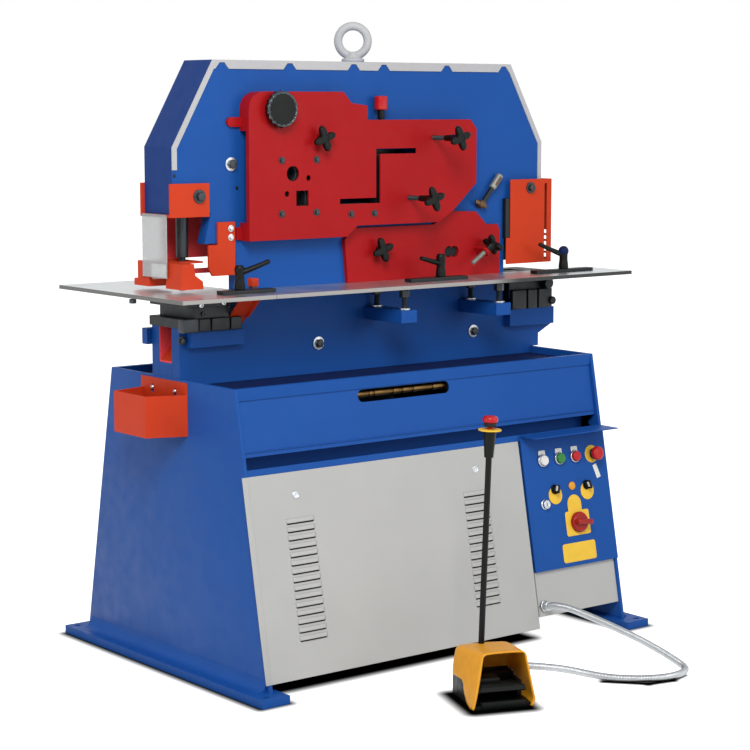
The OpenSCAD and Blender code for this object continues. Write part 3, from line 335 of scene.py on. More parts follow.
# Each finish by its slot in the record, and after those the ones without a slot of their own
FINISHES = {
    "blue_paint": lambda: powder_coat("Blue powder coat on steel", colours().blue, 0.42),
    "red_paint": lambda: powder_coat("Red powder coat on steel", colours().red, 0.42),
    "orange_paint": lambda: powder_coat("Orange powder coat on steel", colours().orange, 0.4),
    "grey_paint": lambda: powder_coat("Grey powder coat on sheet", colours().grey, 0.48),
    "light_trim": lambda: powder_coat("Light edge strip", colours().trim, 0.4),
    "ground_steel": lambda: ground_steel("Ground steel plate", "#CDD1D3", 0.34),
    "dark_steel": lambda: oxide_steel("Black oxide on machined steel", "#33383C", 0.42),
    "machine_black": lambda: oxide_steel("Black machine enamel", "#1D2123", 0.45),
    "zinc_fasteners": lambda: plated_steel("Zinc-plated fasteners", "#B9BDC0", 0.32),
    "metal_hose": lambda: plated_steel("Galvanised strip-wound hose", "#AEB1B3", 0.34),
    "clear_plastic": lambda: clear_sheet("Clear polycarbonate sheet"),
    "black_plastic": lambda: moulded("Black glass-filled nylon", colours().black, 0.4, 0.15),
    "yellow_plastic": lambda: moulded("Yellow ABS moulding", colours().yellow, 0.38),
    "red_plastic": lambda: moulded("Red ABS moulding", linear("#B3161A"), 0.3),
    "green_plastic": lambda: moulded("Green ABS moulding", linear("#2F7D33"), 0.3),
    "white_plastic": lambda: moulded("White ABS moulding", linear("#DDDDD8"), 0.35),
    "label_plate": lambda: moulded("Yellow plate of hard PVC", colours().label, 0.45),
    "dark_red": lambda: moulded("Dark red ABS moulding", linear("#9A140C"), 0.3),
    "eye_paint": lambda: powder_coat("Light grey forged steel", linear("#B6B7B8"), 0.36),
    # painted shade on the deck and the rim on its right; also the colour of the right lever's ball cap
    "navy_cap_and_deck_shade": lambda: powder_coat("Dark navy powder coat, painted shade on the deck", linear("#121F4A"), 0.6),
    "chromated": lambda: plated_steel("Yellow-chromated steel bar", "#6A5230", 0.3),
    "dark_chrome": lambda: plated_steel("Dark chromed steel", "#44494C", 0.18),
    "seal_rubber": lambda: moulded("Black foam rubber seal", linear("#17191B"), 0.75),
    # a bright red that stands in for orange paint in deep shade
    "red_for_painted_shade": lambda: powder_coat("Bright red standing in for shaded orange paint", linear("#F04A4E"), 0.5),
    "bronze": lambda: oxide_steel("Aged bronze", "#5C4630", 0.45),
    "worn_steel": lambda: oxide_steel("Worn bare steel", "#84857F", 0.5),
    # painted shade on the frame's left faces
    "painted_shade_blue": lambda: powder_coat("Blue powder coat with painted shade", linear("#0F3474"), 0.45),
    "table_edge": lambda: planed_edge("Planed edge of the tables"),
}
# The slot that each of these belongs to
MADE = {}


def finish(slot):
    """The finish of a slot, made once."""
    if slot not in MADE:
        MADE[slot] = FINISHES[slot]()
    return MADE[slot]


# Surfaces, in millimetres

def cos_sin(degrees):
    """Cosine and sine of an angle in degrees."""
    angle = math.radians(degrees)
    return math.cos(angle), math.sin(angle)


def grid(rows, columns, ring=True):
    """Quads of a grid whose columns close to a ring, or not."""
    i, j = np.meshgrid(np.arange(rows - 1), np.arange(columns if ring else columns - 1), indexing="ij")
    k = (j + 1) % columns
    return np.stack([i * columns + j, i * columns + k, (i + 1) * columns + k, (i + 1) * columns + j],
                    -1).reshape(-1, 4)


def soft(profile, radius, steps=4):
    """A profile whose inner corners become parabolas from radius before to radius after them, or from
    0.45 of the shorter side there."""
    p = np.asarray(profile, float)
    back, on = p[:-2] - p[1:-1], p[2:] - p[1:-1]
    near = np.linalg.norm(back, axis=1, keepdims=True)
    far = np.linalg.norm(on, axis=1, keepdims=True)
    cut = np.minimum(radius, 0.45 * np.minimum(near, far))
    a, b, c = (p[1:-1] + back / near * cut)[:, None], p[1:-1, None], (p[1:-1] + on / far * cut)[:, None]
    t = np.linspace(0, 1, steps + 1)[None, :, None]
    arcs = (1 - t) ** 2 * a + 2 * t * (1 - t) * b + t * t * c
    return np.concatenate([p[:1], arcs.reshape(-1, p.shape[1]), p[-1:]])


def turned(profile, sides=40, ripple=None):
    """Surface of revolution: radius and height of the profile carried round local Z. A ripple of
    angle and height scales the radius. Radius 0 at both ends closes it."""
    r, h = np.asarray(profile, float).T[:, :, None]
    a = np.linspace(0, 2 * np.pi, sides, endpoint=False)[None]
    r = r * (np.ones_like(a) if ripple is None else ripple(a, h))
    points = np.stack([r * np.cos(a), r * np.sin(a), h + 0 * a], -1)
    return points.reshape(-1, 3), grid(len(h), sides)


def threaded(d, low, high, pitch, sides=20):
    """Screw: a cylinder whose radius falls and rises as a triangle wave of the height less the pitch
    times the share of a turn."""
    rings = 5
    h = np.arange(low, high, pitch / rings)
    profile = np.stack([np.full_like(h, d / 2), h], -1)
    profile = np.concatenate([[[0, low]], profile, [[0, h[-1]]]])
    depth = 1.1 * pitch / d

    def wave(a, z):
        return 1 - depth * np.abs(2 * ((z / pitch - a / (2 * np.pi)) % 1) - 1)
    return turned(profile, sides, wave)


def swept(path, radius, sides=14, flat=1.0):
    """Tube: a circle of the given radius, pressed to an oval by flat, carried along the path in
    frames that keep level. A radius of 0 at an end closes it."""
    p = np.asarray(path, float)
    t = np.gradient(p, axis=0)
    t /= np.linalg.norm(t, axis=1, keepdims=True)
    u = np.cross(t, [0, 0, 1])
    u /= np.linalg.norm(u, axis=1, keepdims=True)
    v = np.cross(t, u)
    a = np.linspace(0, 2 * np.pi, sides, endpoint=False)[None, :, None]
    ring = np.cos(a) * u[:, None] + flat * np.sin(a) * v[:, None]
    points = p[:, None] + np.broadcast_to(radius, len(p))[:, None, None] * ring
    return points.reshape(-1, 3), grid(len(p), sides)


def rounded_box(size, radius, steps=3):
    """Box with round edges: a sphere of the edge radius on a grid of latitude and longitude, each
    octant pushed out to its corner, with a flat cap at both poles."""
    half = np.asarray(size, float) / 2
    r = min(radius, half.min())
    k = np.linspace(0, np.pi / 2, steps + 1)
    lon = (np.arange(4)[:, None] * np.pi / 2 + k).ravel()[None]
    lat = np.concatenate([k - np.pi / 2, k])[:, None]
    sign = np.stack([np.repeat([1, -1, -1, 1], steps + 1)[None] + 0 * lat,
                     np.repeat([1, 1, -1, -1], steps + 1)[None] + 0 * lat,
                     np.repeat([-1, 1], steps + 1)[:, None] + 0 * lon], -1)
    ball = np.stack([np.cos(lat) * np.cos(lon), np.cos(lat) * np.sin(lon), np.sin(lat) + 0 * lon], -1)
    points = sign * (half - r) + r * ball
    cap = np.zeros_like(points[:1])
    points = np.concatenate([cap - [0, 0, half[2]], points, cap + [0, 0, half[2]]])
    return points.reshape(-1, 3), grid(points.shape[0], points.shape[1])


def ring_bar(radius, bar, sides=64, round_sides=24):
    """Torus: a circle of the bar's diameter carried round a ring in the local X and Z plane."""
    a = np.linspace(0, 2 * np.pi, sides + 1)[:, None]
    b = np.linspace(0, 2 * np.pi, round_sides, endpoint=False)[None]
    r = radius + bar / 2 * np.cos(b)
    points = np.stack([r * np.cos(a), bar / 2 * np.sin(b) + 0 * a, r * np.sin(a)], -1)
    return points.reshape(-1, 3), grid(sides + 1, round_sides)


def capped(rings):
    """A stack of rings as a surface, closed at both ends with fans from the end rings' middles."""
    ends = rings[[0, -1]].mean(axis=1, keepdims=True) + 0 * rings[:2]
    points = np.concatenate([ends[:1], rings, ends[1:]])
    return points.reshape(-1, 3), grid(len(points), rings.shape[1])


def mirrored(shape, axis):
    """A surface mirrored along an axis, with its faces turned outwards again."""
    points, faces = shape
    flip = np.ones(3)
    flip[axis] = -1
    return points * flip, faces[:, ::-1]


def moved(shape, by=(0, 0, 0), turn=0.0):
    """A surface turned about local Z and moved."""
    points, faces = shape
    c, s = cos_sin(turn)
    return points @ np.array([[c, s, 0], [-s, c, 0], [0, 0, 1]]) + by, faces


def put(shape, seat):
    """A surface carried from local axes to a seat, given as origin and three axes."""
    points, faces = shape
    return np.asarray(seat[0], float) + points @ np.asarray(seat[1:], float), faces


def seated(seat, *shapes):
    """Surfaces with their finishes, carried to a seat together."""
    return [(put(shape, seat), slot) for shape, slot in shapes]


# Seats, as origin, local X, local Y and local Z

def front_y(z):
    """Depth of the sloping front at a height."""
    return FRONT_FOOT_Y + (z - FOOT_TOP) * math.tan(FRONT_TILT)


def on_front(x, z):
    """On the sloping front at x and the height z, local Z out of it."""
    c, s = math.cos(FRONT_TILT), math.sin(FRONT_TILT)
    return (x, front_y(z), z), (1, 0, 0), (0, s, c), (0, -c, s)


def facing(x, y, z):
    """On an upright face at y, local Z towards the front."""
    return (x, y, z), (1, 0, 0), (0, 0, 1), (0, -1, 0)


def upright(x, y, z, turn=0.0):
    """Standing at a point, turned about the vertical."""
    c, s = cos_sin(turn)
    return (x, y, z), (c, s, 0), (-s, c, 0), (0, 0, 1)


def on_pedal(x, y, z):
    """In the pedal unit's own turned frame."""
    seat = upright(*PEDAL_AT, 0, PEDAL_TURN)
    origin = np.array(seat[0]) + np.array([x, y, z]) @ np.array(seat[1:])
    return tuple(origin), *seat[1:]


def on_pole(z):
    """Along the leaning pole at a height."""
    root = 56
    base = on_pedal(-10, 64, root)
    ex, ey, ez = (np.array(a) for a in base[1:])
    c, s = cos_sin(POLE_LEAN)
    axis = s * ex + c * ez
    return tuple(np.array(base[0]) + (z - root) * axis), tuple(c * ex - s * ez), tuple(ey), tuple(axis)


def along_side_screw():
    """Along the sloping screw of the lower guard, from its boss."""
    lean, boss = 57, 54
    c, s = cos_sin(lean)
    return (356 + boss * s, -100, 1074 + boss * c), (c, 0, -s), (0, 1, 0), (s, 0, c)


# Objects

def new_object(name, mesh, body, nodes):
    """A piece in the scene that rides on its body and stands for its nodes."""
    piece = bpy.data.objects.new(name, mesh)
    bpy.context.scene.collection.objects.link(piece)
    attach(piece, body)
    if nodes:
        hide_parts(*nodes)
    return piece


def build(name, surfaces, body="machine", nodes=(), angle=40):
    """One piece from surfaces, each with the slot of its finish. Joins their arrays, welds seams and
    poles, and shades faces that meet below the angle as one."""
    slots = list(dict.fromkeys(slot for _, slot in surfaces))
    starts = np.cumsum([0] + [len(s[0]) for s, _ in surfaces])
    points = np.concatenate([s[0] for s, _ in surfaces]) * MM
    faces = np.concatenate([s[1] + at for (s, _), at in zip(surfaces, starts)])
    marks = np.concatenate([np.full(len(s[1]), slots.index(slot)) for s, slot in surfaces])
    mesh = bpy.data.meshes.new(name)
    mesh.from_pydata(points, [], faces)
    mesh.polygons.foreach_set("material_index", marks.astype(np.int32))
    near = 2e-6
    work = bmesh.new()
    work.from_mesh(mesh)
    bmesh.ops.remove_doubles(work, verts=work.verts, dist=near)
    bmesh.ops.dissolve_degenerate(work, edges=work.edges, dist=near)
    work.to_mesh(mesh)
    work.free()
    for slot in slots:
        mesh.materials.append(finish(slot))
    mesh.shade_smooth()
    mesh.set_sharp_from_angle(angle=math.radians(angle))
    return new_object(name, mesh, body, nodes)


def walled(piece, thickness):
    """Gives a sheet its thickness in millimetres, inwards."""
    wall = piece.modifiers.new("Sheet", "SOLIDIFY")
    wall.thickness = thickness * MM
    wall.offset = -1


def dressed(node, slot, edge, steps=2, second=None):
    """A merged copy of a solid with its sharp edges rounded. second gives the faces of another
    finish as a slot and a test of their centres in metres and their normals."""
    sharp = math.radians(35)
    work = bmesh.new()
    work.from_mesh(frame["nodes"][node].data)
    bmesh.ops.remove_doubles(work, verts=work.verts, dist=1e-5)
    bmesh.ops.dissolve_limit(work, angle_limit=math.radians(0.3), verts=work.verts, edges=work.edges)
    mesh = bpy.data.meshes.new(node + "_dressed")
    work.to_mesh(mesh)
    work.free()
    mesh.materials.clear()
    mesh.materials.append(finish(slot))
    marks = np.zeros(len(mesh.polygons), np.int32)
    if second:
        mesh.materials.append(finish(second[0]))
        centres, normals = np.zeros((2, len(mesh.polygons) * 3))
        mesh.polygons.foreach_get("center", centres)
        mesh.polygon_normals.foreach_get("vector", normals)
        marks = second[1](centres.reshape(-1, 3), normals.reshape(-1, 3)).astype(np.int32)
    mesh.polygons.foreach_set("material_index", marks)
    mesh.shade_smooth()
    mesh.set_sharp_from_angle(angle=sharp)
    body = body_of(frame["nodes"][node])[0]
    piece = new_object(node + "_dressed", mesh, body, (node,))
    bevel = piece.modifiers.new("Edges", "BEVEL")
    bevel.width = edge
    bevel.segments = steps
    bevel.limit_method = "ANGLE"
    bevel.angle_limit = sharp
    bevel.use_clamp_overlap = True
    bevel.harden_normals = True
    return piece


# Stage

class IRONWORKER_OT_stage(bpy.types.Operator):
    """Sets the camera, the floor, the surroundings and the lamps"""
    bl_idname = "ironworker.stage"
    bl_label = "Stage"

    # Painted shadows on the floor: middle, half size, dark border and end of the fade, in metres, and
    # the turn in degrees
    painted_shadows = (
        ((-0.155, 0), (0.485, 0.385), 0.0, 0.06, 0),  # cabinet
        ((0.3, 0.29), (0.34, 0.12), 0.0, 0.06, 0),  # behind the control box
        ((-0.654, 0), (0.043, 0.49), 0.0, 0.045, 0),  # left foot
        ((0.654, 0), (0.043, 0.49), 0.0, 0.045, 0),  # right foot
        ((-0.188, -0.796), (0.075, 0.09), 0.008, 0.065, PEDAL_TURN),  # pedal
        ((0.355, -0.9425), (0.031, 0.005), 0.0, 0.02, 16),  # hose, in three lengths
        ((0.285, -0.9445), (0.041, 0.006), 0.0, 0.022, -12),
        ((0.211, -0.8905), (0.06, 0.006), 0.0, 0.022, -49),
    )

    def execute(self, context):
        scene = context.scene
        scene.view_settings.view_transform = "Standard"
        # The camera is fitted to the photo
        lens = bpy.data.cameras.new("Camera")
        lens.lens = 99.83
        lens.sensor_width = 36
        lens.clip_end = 100
        camera = bpy.data.objects.new("Camera", lens)
        camera.location = (-3.6609, -4.7178, 1.5288)
        camera.rotation_euler = (math.radians(82.6101), 0, math.radians(-38.2717))
        scene.collection.objects.link(camera)
        scene.camera = camera
        self.floor(scene)
        self.surroundings(scene)
        self.lamp(scene, "Key", (-2.6, -3.4, 4.0), 2.0, 200)
        self.lamp(scene, "Fill", (2.0, -4.8, 2.2), 2.6, 60)
        self.lamp(scene, "Side", (-4.6, 0.6, 1.2), 2.0, 30)
        return {"FINISHED"}

    def seen(self, tree):
        """1 for rays from the camera and for those that mirror or pass light, else 0."""
        path = add(tree, "LightPath", {})
        both = combine(tree, "MAXIMUM", path.outputs["Is Camera Ray"], path.outputs["Is Glossy Ray"])
        return combine(tree, "MAXIMUM", both, path.outputs["Is Transmission Ray"])

    def clear_of(self, tree, place, at, half, dark, fade, turn):
        """Mask of a painted shadow: 0 on the floor inside a turned rectangle and its dark border, rising
        to 1 over the fade.
        """
        local = add(tree, "Mapping", {"Vector": place, "Location": (*at, 0),
                                      "Rotation": (0, 0, math.radians(turn))}, vector_type="TEXTURE")
        size = add(tree, "VectorMath", {0: local.outputs[0]}, operation="ABSOLUTE")
        over = add(tree, "VectorMath", {0: size.outputs[0], 1: (*half, 1)}, operation="SUBTRACT")
        out = add(tree, "VectorMath", {0: over.outputs[0], 1: (0, 0, 0)}, operation="MAXIMUM")
        away = add(tree, "VectorMath", {0: out.outputs[0]}, operation="LENGTH")
        return ramp(tree, away.outputs["Value"], (dark, fade), interpolation_type="SMOOTHSTEP")

    def floor(self, scene):
        """A square sheet of pale floor. Where it is seen it glows white, but under the cabinet, the
        feet, the pedal and the hose it is painted near black and does not glow: painted contact shadows."""
        reach, below = 60.0, 0.0005
        mesh = bpy.data.meshes.new("Floor")
        corners = np.array([[-1, -1, 0], [1, -1, 0], [1, 1, 0], [-1, 1, 0]]) * reach
        mesh.from_pydata(corners - [0, 0, below], [], [[0, 1, 2, 3]])
        material, tree, shader, place = start("Pale studio floor")
        shader.inputs["Roughness"].default_value = 0.9
        shader.inputs["Specular IOR Level"].default_value = 0.0
        shader.inputs["Emission Color"].default_value = (1, 1, 1, 1)
        away = 1.0
        for contact in self.painted_shadows:
            near = self.clear_of(tree, place, *contact)
            away = combine(tree, "MULTIPLY", away, near)
        # Painted shadows: inside the rectangles the floor is near black and without glow
        tone = blend(tree, away, linear("#050505"), linear("#E6E6E6"))
        glow = combine(tree, "MULTIPLY", self.seen(tree), away)
        tree.links.new(tone, shader.inputs["Base Color"])
        tree.links.new(glow, shader.inputs["Emission Strength"])
        mesh.materials.append(material)
        floor = bpy.data.objects.new("Floor", mesh)
        scene.collection.objects.link(floor)

    def surroundings(self, scene):
        """A white room: full white where it is seen, softer where it lights."""
        world = bpy.data.worlds.new("White room")
        scene.world = world
        world.use_nodes = True
        tree = world.node_tree
        light = ramp(tree, self.seen(tree), (0.0, 1.0), (0.32, 1.0))
        sky = tree.nodes["Background"]
        sky.inputs["Color"].default_value = (1, 1, 1, 1)
        tree.links.new(light, sky.inputs["Strength"])

    def lamp(self, scene, name, at, size, power):
        """A square soft box that looks at the machine's middle."""
        data = bpy.data.lights.new(name, "AREA")
        data.size = size
        data.energy = power
        lamp = bpy.data.objects.new(name, data)
        lamp.location = at
        middle = (0, 0, 0.9)
        away = np.subtract(at, middle)
        flat = math.hypot(away[0], away[1])
        lamp.rotation_euler = (math.atan2(flat, away[2]), 0, math.atan2(away[0], -away[1]))
        scene.collection.objects.link(lamp)


class IRONWORKER_OT_hose(bpy.types.Operator):
    """Makes the ribbed metal hose from the cabinet to the pedal, and its gland"""
    bl_idname = "ironworker.hose"
    bl_label = "Metal hose"

    route = np.array([
        [335, -458.96, 107.80], [335, -488.41, 113.50], [338, -540, 115], [347, -591, 107],
        [360, -645, 95], [376, -700, 80], [394, -750, 64], [411, -797, 46], [424, -838, 29],
        [428, -876, 16], [414, -914, 11], [382, -940, 11], [343, -950, 11], [300, -946, 11],
        [255, -926, 11], [214, -893, 11], [178, -856, 13], [140, -825, 21], [92, -805, 35],
        [36, -792, 49], [-39.8, -766.9, 61], [-77.1, -752.6, 52]])

    def line(self, count):
        """Smooth curve through the route: between two points a cubic whose ends point along the
        neighbours (Catmull-Rom), sampled at equal steps of length."""
        p = np.concatenate([[2 * self.route[0] - self.route[1]], self.route,
                            [2 * self.route[-1] - self.route[-2]]])
        t = np.linspace(0, 1, 24, endpoint=False)[None, :, None]
        a, b, c, d = (p[i:len(p) - 3 + i, None] for i in range(4))
        fine = 0.5 * (2 * b + (c - a) * t + (2 * a - 5 * b + 4 * c - d) * t ** 2
                      + (3 * b - a - 3 * c + d) * t ** 3)
        fine = np.concatenate([fine.reshape(-1, 3), self.route[-1:]])
        run = np.concatenate([[0], np.cumsum(np.linalg.norm(np.diff(fine, axis=0), axis=1))])
        at = np.linspace(0, run[-1], count)
        return np.stack([np.interp(at, run, fine[:, i]) for i in range(3)], -1), run[-1]

    def execute(self, context):
        path, run = self.line(120)
        ribs = round(run / (sizes().hose_pitch / MM))
        rib = [9.1, 9.75, 10.0, 10.0, 9.75]  # radius over one pitch
        fine, _ = self.line(ribs * len(rib) + 1)
        radius = np.concatenate([[0], np.tile(rib, ribs)[1:], [0]])
        hose = build("metal_hose", [(swept(fine, radius, 16), "metal_hose")], nodes=("hose",), angle=60)
        seat = ((335, -433.43, 102.86), *on_front(0, 0)[1:])
        nut = turned(soft([[0, 0], [16.4, 0], [17, 1], [17, 8.4], [15.6, 10], [0, 10]], 0.6), 6)
        sleeve = turned(soft([[0, 8], [13.4, 8], [13.4, 15], [12.6, 16], [13.4, 17], [13.4, 20],
                              [12.6, 21], [13.4, 22], [13.2, 25], [11.5, 26], [0, 26]], 0.8))
        gland = build("hose_gland_nut",
                      seated(seat, (nut, "zinc_fasteners"), (sleeve, "zinc_fasteners")),
                      nodes=("hose_gland",), angle=30)
        return {"FINISHED"}


class IRONWORKER_OT_painted_steel(bpy.types.Operator):
    """Rounds the edges of the painted plates, covers, guards and brackets"""
    bl_idname = "ironworker.painted_steel"
    bl_label = "Painted steel"

    def execute(self, context):
        plate, sheet = sizes().plate_edge, sizes().sheet_edge
        for node in ("base_sides", "frame_plates", "table_brackets", "frame_spacers"):
            dressed(node, "blue_paint", plate)
        dressed("control_box", "blue_paint", sheet)
        # Painted shade: the left faces of the frame get a darker blue, and the deck with the rim on its
        # right a dark navy
        dressed("frame_skin", "blue_paint", sheet, 2, ("painted_shade_blue", lambda c, n: n[:, 0] < -0.3))
        deck, near = DECK_TOP * MM, 3 * MM
        dressed("base_frame", "blue_paint", sheet, 2, (
            "navy_cap_and_deck_shade", lambda c, n: ((n[:, 2] > 0.9) & (np.abs(c[:, 2] - deck) < near))
            | ((n[:, 0] < -0.9) & (c[:, 0] > 0.5) & (c[:, 2] > deck - near))))
        dressed("cabinet_covers", "grey_paint", sheet)
        self.trim()
        dressed("upper_guard", "red_paint", 3.0 * MM, 3)
        dressed("lower_guard", "red_paint", 3.0 * MM, 3)
        for node in ("punch_bracket", "gauge_plate"):
            dressed(node, "orange_paint", plate)
        # Painted shade: the plate behind the stripper and the inside of the left chute get a bright red
        # in place of their orange, for how they look in deep shade
        dressed("stripper", "orange_paint", sheet, 2, (
            "red_for_painted_shade", lambda c, n: (c[:, 1] > 0.0915) & (c[:, 0] > -0.605)))
        dressed("slug_chutes", "orange_paint", sheet, 2, (
            "red_for_painted_shade", lambda c, n: (c[:, 0] < -0.5) & (n[:, 2] < 0.2)))
        for node in ("notcher_guard", "parts_box"):
            dressed(node, "orange_paint", sheet)
        self.edges_of_base()
        return {"FINISHED"}

    def trim(self):
        """Edge strip: a thin box whose outer edge follows the frame's rim and whose inner edge lies
        15 mm inside it, 24 mm along the top, and comes close to it at the tabs' gaps."""
        inner, near, thick = FRAME_TOP - 24, FRAME_TOP - 7, 3
        gaps = np.array([-497, -273, -51, 57, 291, 512])[:, None] + [-22, -8, 8, 22]
        top = np.stack([gaps, 0 * gaps + FRAME_TOP, gaps, 0 * gaps + [inner, near, near, inner]], -1)
        # X and Z of the outer edge, then of the inner one
        edges = np.concatenate([
            [[-659, 1358, -644, 1358], [-659, 1418, -644, 1414], [-527.3, FRAME_TOP, -523.7, inner]],
            top.reshape(-1, 4),
            [[539.4, FRAME_TOP, 535.5, inner], [668, 1418, 653, 1414], [668, 1255, 653, 1255]]])
        x, z = edges[:, [0, 2, 2, 0]], edges[:, [1, 3, 3, 1]]
        y = FRAME_FRONT - np.array([thick, thick, 0, 0]) + 0 * x
        strip = capped(np.stack([x, y, z], -1))
        end = turned(soft([[0, 0], [4.6, 0], [4.6, 1.6], [3.4, 2.6], [0, 2.6]], 0.4))
        build("edge_trim_strip", [(strip, "light_trim"),
                                  (put(end, facing(-651, FRAME_FRONT, 1343)), "machine_black")],
              nodes=("edge_trim",), angle=30)

    def edges_of_base(self):
        """Cover's flange over the left side plate's front edge, a slim box on the slope, and the fillets
        between side plates and feet: a hollow quarter circle carried along Y, closed to its corner."""
        flange = moved(rounded_box((18, 530 / math.cos(FRONT_TILT), 3), 0.8), (0, 0, -1.1))
        build("cover_flange", [(put(flange, on_front(-642, 308)), "grey_paint")], angle=30)
        radius, end = 32, 440
        a = np.linspace(0, np.pi / 2, 13)
        outline = np.concatenate([radius * (1 - np.stack([np.cos(a), np.sin(a)], -1)), [[0, 0]]])
        x, z = outline.T[:, None] * np.array([0, 1, 1, 0])[:, None]
        y = np.array([-end, -end, end, end])[:, None] + 0 * x
        points = np.stack([x, y, z], -1).reshape(-1, 3)
        right = moved((points, grid(4, len(outline))), (SIDE_X, 0, FOOT_TOP))
        build("foot_fillets", [(mirrored(right, 0), "blue_paint"), (right, "blue_paint")], angle=30)


class IRONWORKER_OT_bare_steel(bpy.types.Operator):
    """Rounds the edges of the tables, rams, blades, blocks and inside parts"""
    bl_idname = "ironworker.bare_steel"
    bl_label = "Bare and blackened steel"

    def execute(self, context):
        edge = sizes().plate_edge
        for node in ("punch_table", "front_table"):
            dressed(node, "ground_steel", edge / 2, 2, ("table_edge", lambda c, n: n[:, 2] < 0.5))
        for node in ("punch_die", "pivot_pin", "cylinder_rod"):
            dressed(node, "ground_steel", edge / 2)
        for node in ("rocker_beam", "punch_ram", "notch_ram", "shear_blades", "cylinder_barrel"):
            dressed(node, "dark_steel", edge)
        for node in ("die_holder", "notcher_die", "guard_spacers", "clamp_bars", "power_pack"):
            dressed(node, "machine_black", edge)
        dressed("clear_guard", "clear_plastic", 0.5 * MM)
        return {"FINISHED"}


class IRONWORKER_OT_louvres(bpy.types.Operator):
    """Presses the louvre hoods over the slots of both covers, with foam filter mats behind them"""
    bl_idname = "ironworker.louvres"
    bl_label = "Louvres"

    def hood(self, rise):
        """Hood on u along the slot and v up from its lip: the height is the rise times the fourth
        root of 1 - u^6 times the root of 1 - v^2, so the lip stays open and the ends close."""
        half_width, length, lip = 46, 12, 1.0
        u = np.linspace(-1, 1, 17)[None]
        v = np.linspace(0, 1, 7)[:, None]
        high = rise * np.sqrt(np.sqrt(1 - u ** 6)) * np.sqrt(1 - v ** 2)
        points = np.stack([u * half_width + 0 * v, length * v + lip + 0 * u, high], -1)
        return points.reshape(-1, 3), grid(v.size, u.size, False)

    def execute(self, context):
        count, step, top = 15, 22, 441
        slope = on_front(0, FOOT_TOP)
        rows = (top - FOOT_TOP) / math.cos(FRONT_TILT) - step * np.arange(count)
        hood = self.hood(sizes().louvre_rise / MM)
        front = [put(moved(hood, (x, row, 0)), slope) for x in LOUVRE_X for row in rows]
        back = [mirrored(shape, 1) for shape in front]
        walled(build("louvre_hoods", [(shape, "grey_paint") for shape in front + back]), 1.5)
        mats = []
        for x in LOUVRE_X:
            mat = put(moved(rounded_box((108, 346, 5), 2), (x, rows.mean() + 2, -7)), slope)
            mats += [(mat, "seal_rubber"), (mirrored(mat, 1), "seal_rubber")]
        build("louvre_filter_mats", mats, angle=30)
        return {"FINISHED"}


class IRONWORKER_OT_chute(bpy.types.Operator):
    """Hangs the stop bar behind the chute slot and closes the recess below it"""
    bl_idname = "ironworker.chute"
    bl_label = "Chute bar and recess"

    def bar(self):
        """Grooved round bar along X: a stepped profile of radius and place turned round the axis, with
        a rounded block at each end that carries it from the deck."""
        left, y, z = -250, -281, 748
        steps = np.cumsum([0, 60, 4, 14, 4, 62, 4, 30, 4, 34, 4, 66, 4, 60])
        radius = np.tile([9.5, 7], 7)[:len(steps) - 1]
        profile = np.stack([np.repeat(radius, 2), np.repeat(steps, 2)[1:-1]], -1)
        profile = np.concatenate([[[0, 0]], profile, [[0, steps[-1]]]])
        seat = ((left, y, z), (0, 1, 0), (0, 0, 1), (1, 0, 0))
        surfaces = [(put(turned(soft(profile, 0.8, 2), 32), seat), "chromated")]
        for x in (left, left + steps[-1]):
            surfaces.append((moved(rounded_box((18, 34, 34), 2), (x, y, z + 2)), "machine_black"))
        build("chute_stop_bar", surfaces, angle=30)

    def recess(self):
        """Bent sheet behind the front gap and foam seal behind the rear one: closed outlines in depth
        and height carried across the cabinet."""
        def across(outline):
            y, z = soft(np.array(outline + outline[:1], float), 1.0, 2)[:-1].T[:, None]
            x = np.array([-630, 0, 630])[:, None]
            return capped(np.stack(np.broadcast_arrays(x, y, z), -1))
        sheet = [[-330, 634], [-272, 634], [-272, 560], [-338, 560], [-338, 563], [-275, 563],
                 [-275, 631], [-330, 631]]
        seal = [[303, 757], [318, 757], [318, 767], [303, 767]]
        build("recess_sheet", [(across(sheet), "blue_paint")], angle=30)
        build("rear_seal", [(across(seal), "seal_rubber")], angle=30)

    def execute(self, context):
        self.bar()
        self.recess()
        return {"FINISHED"}


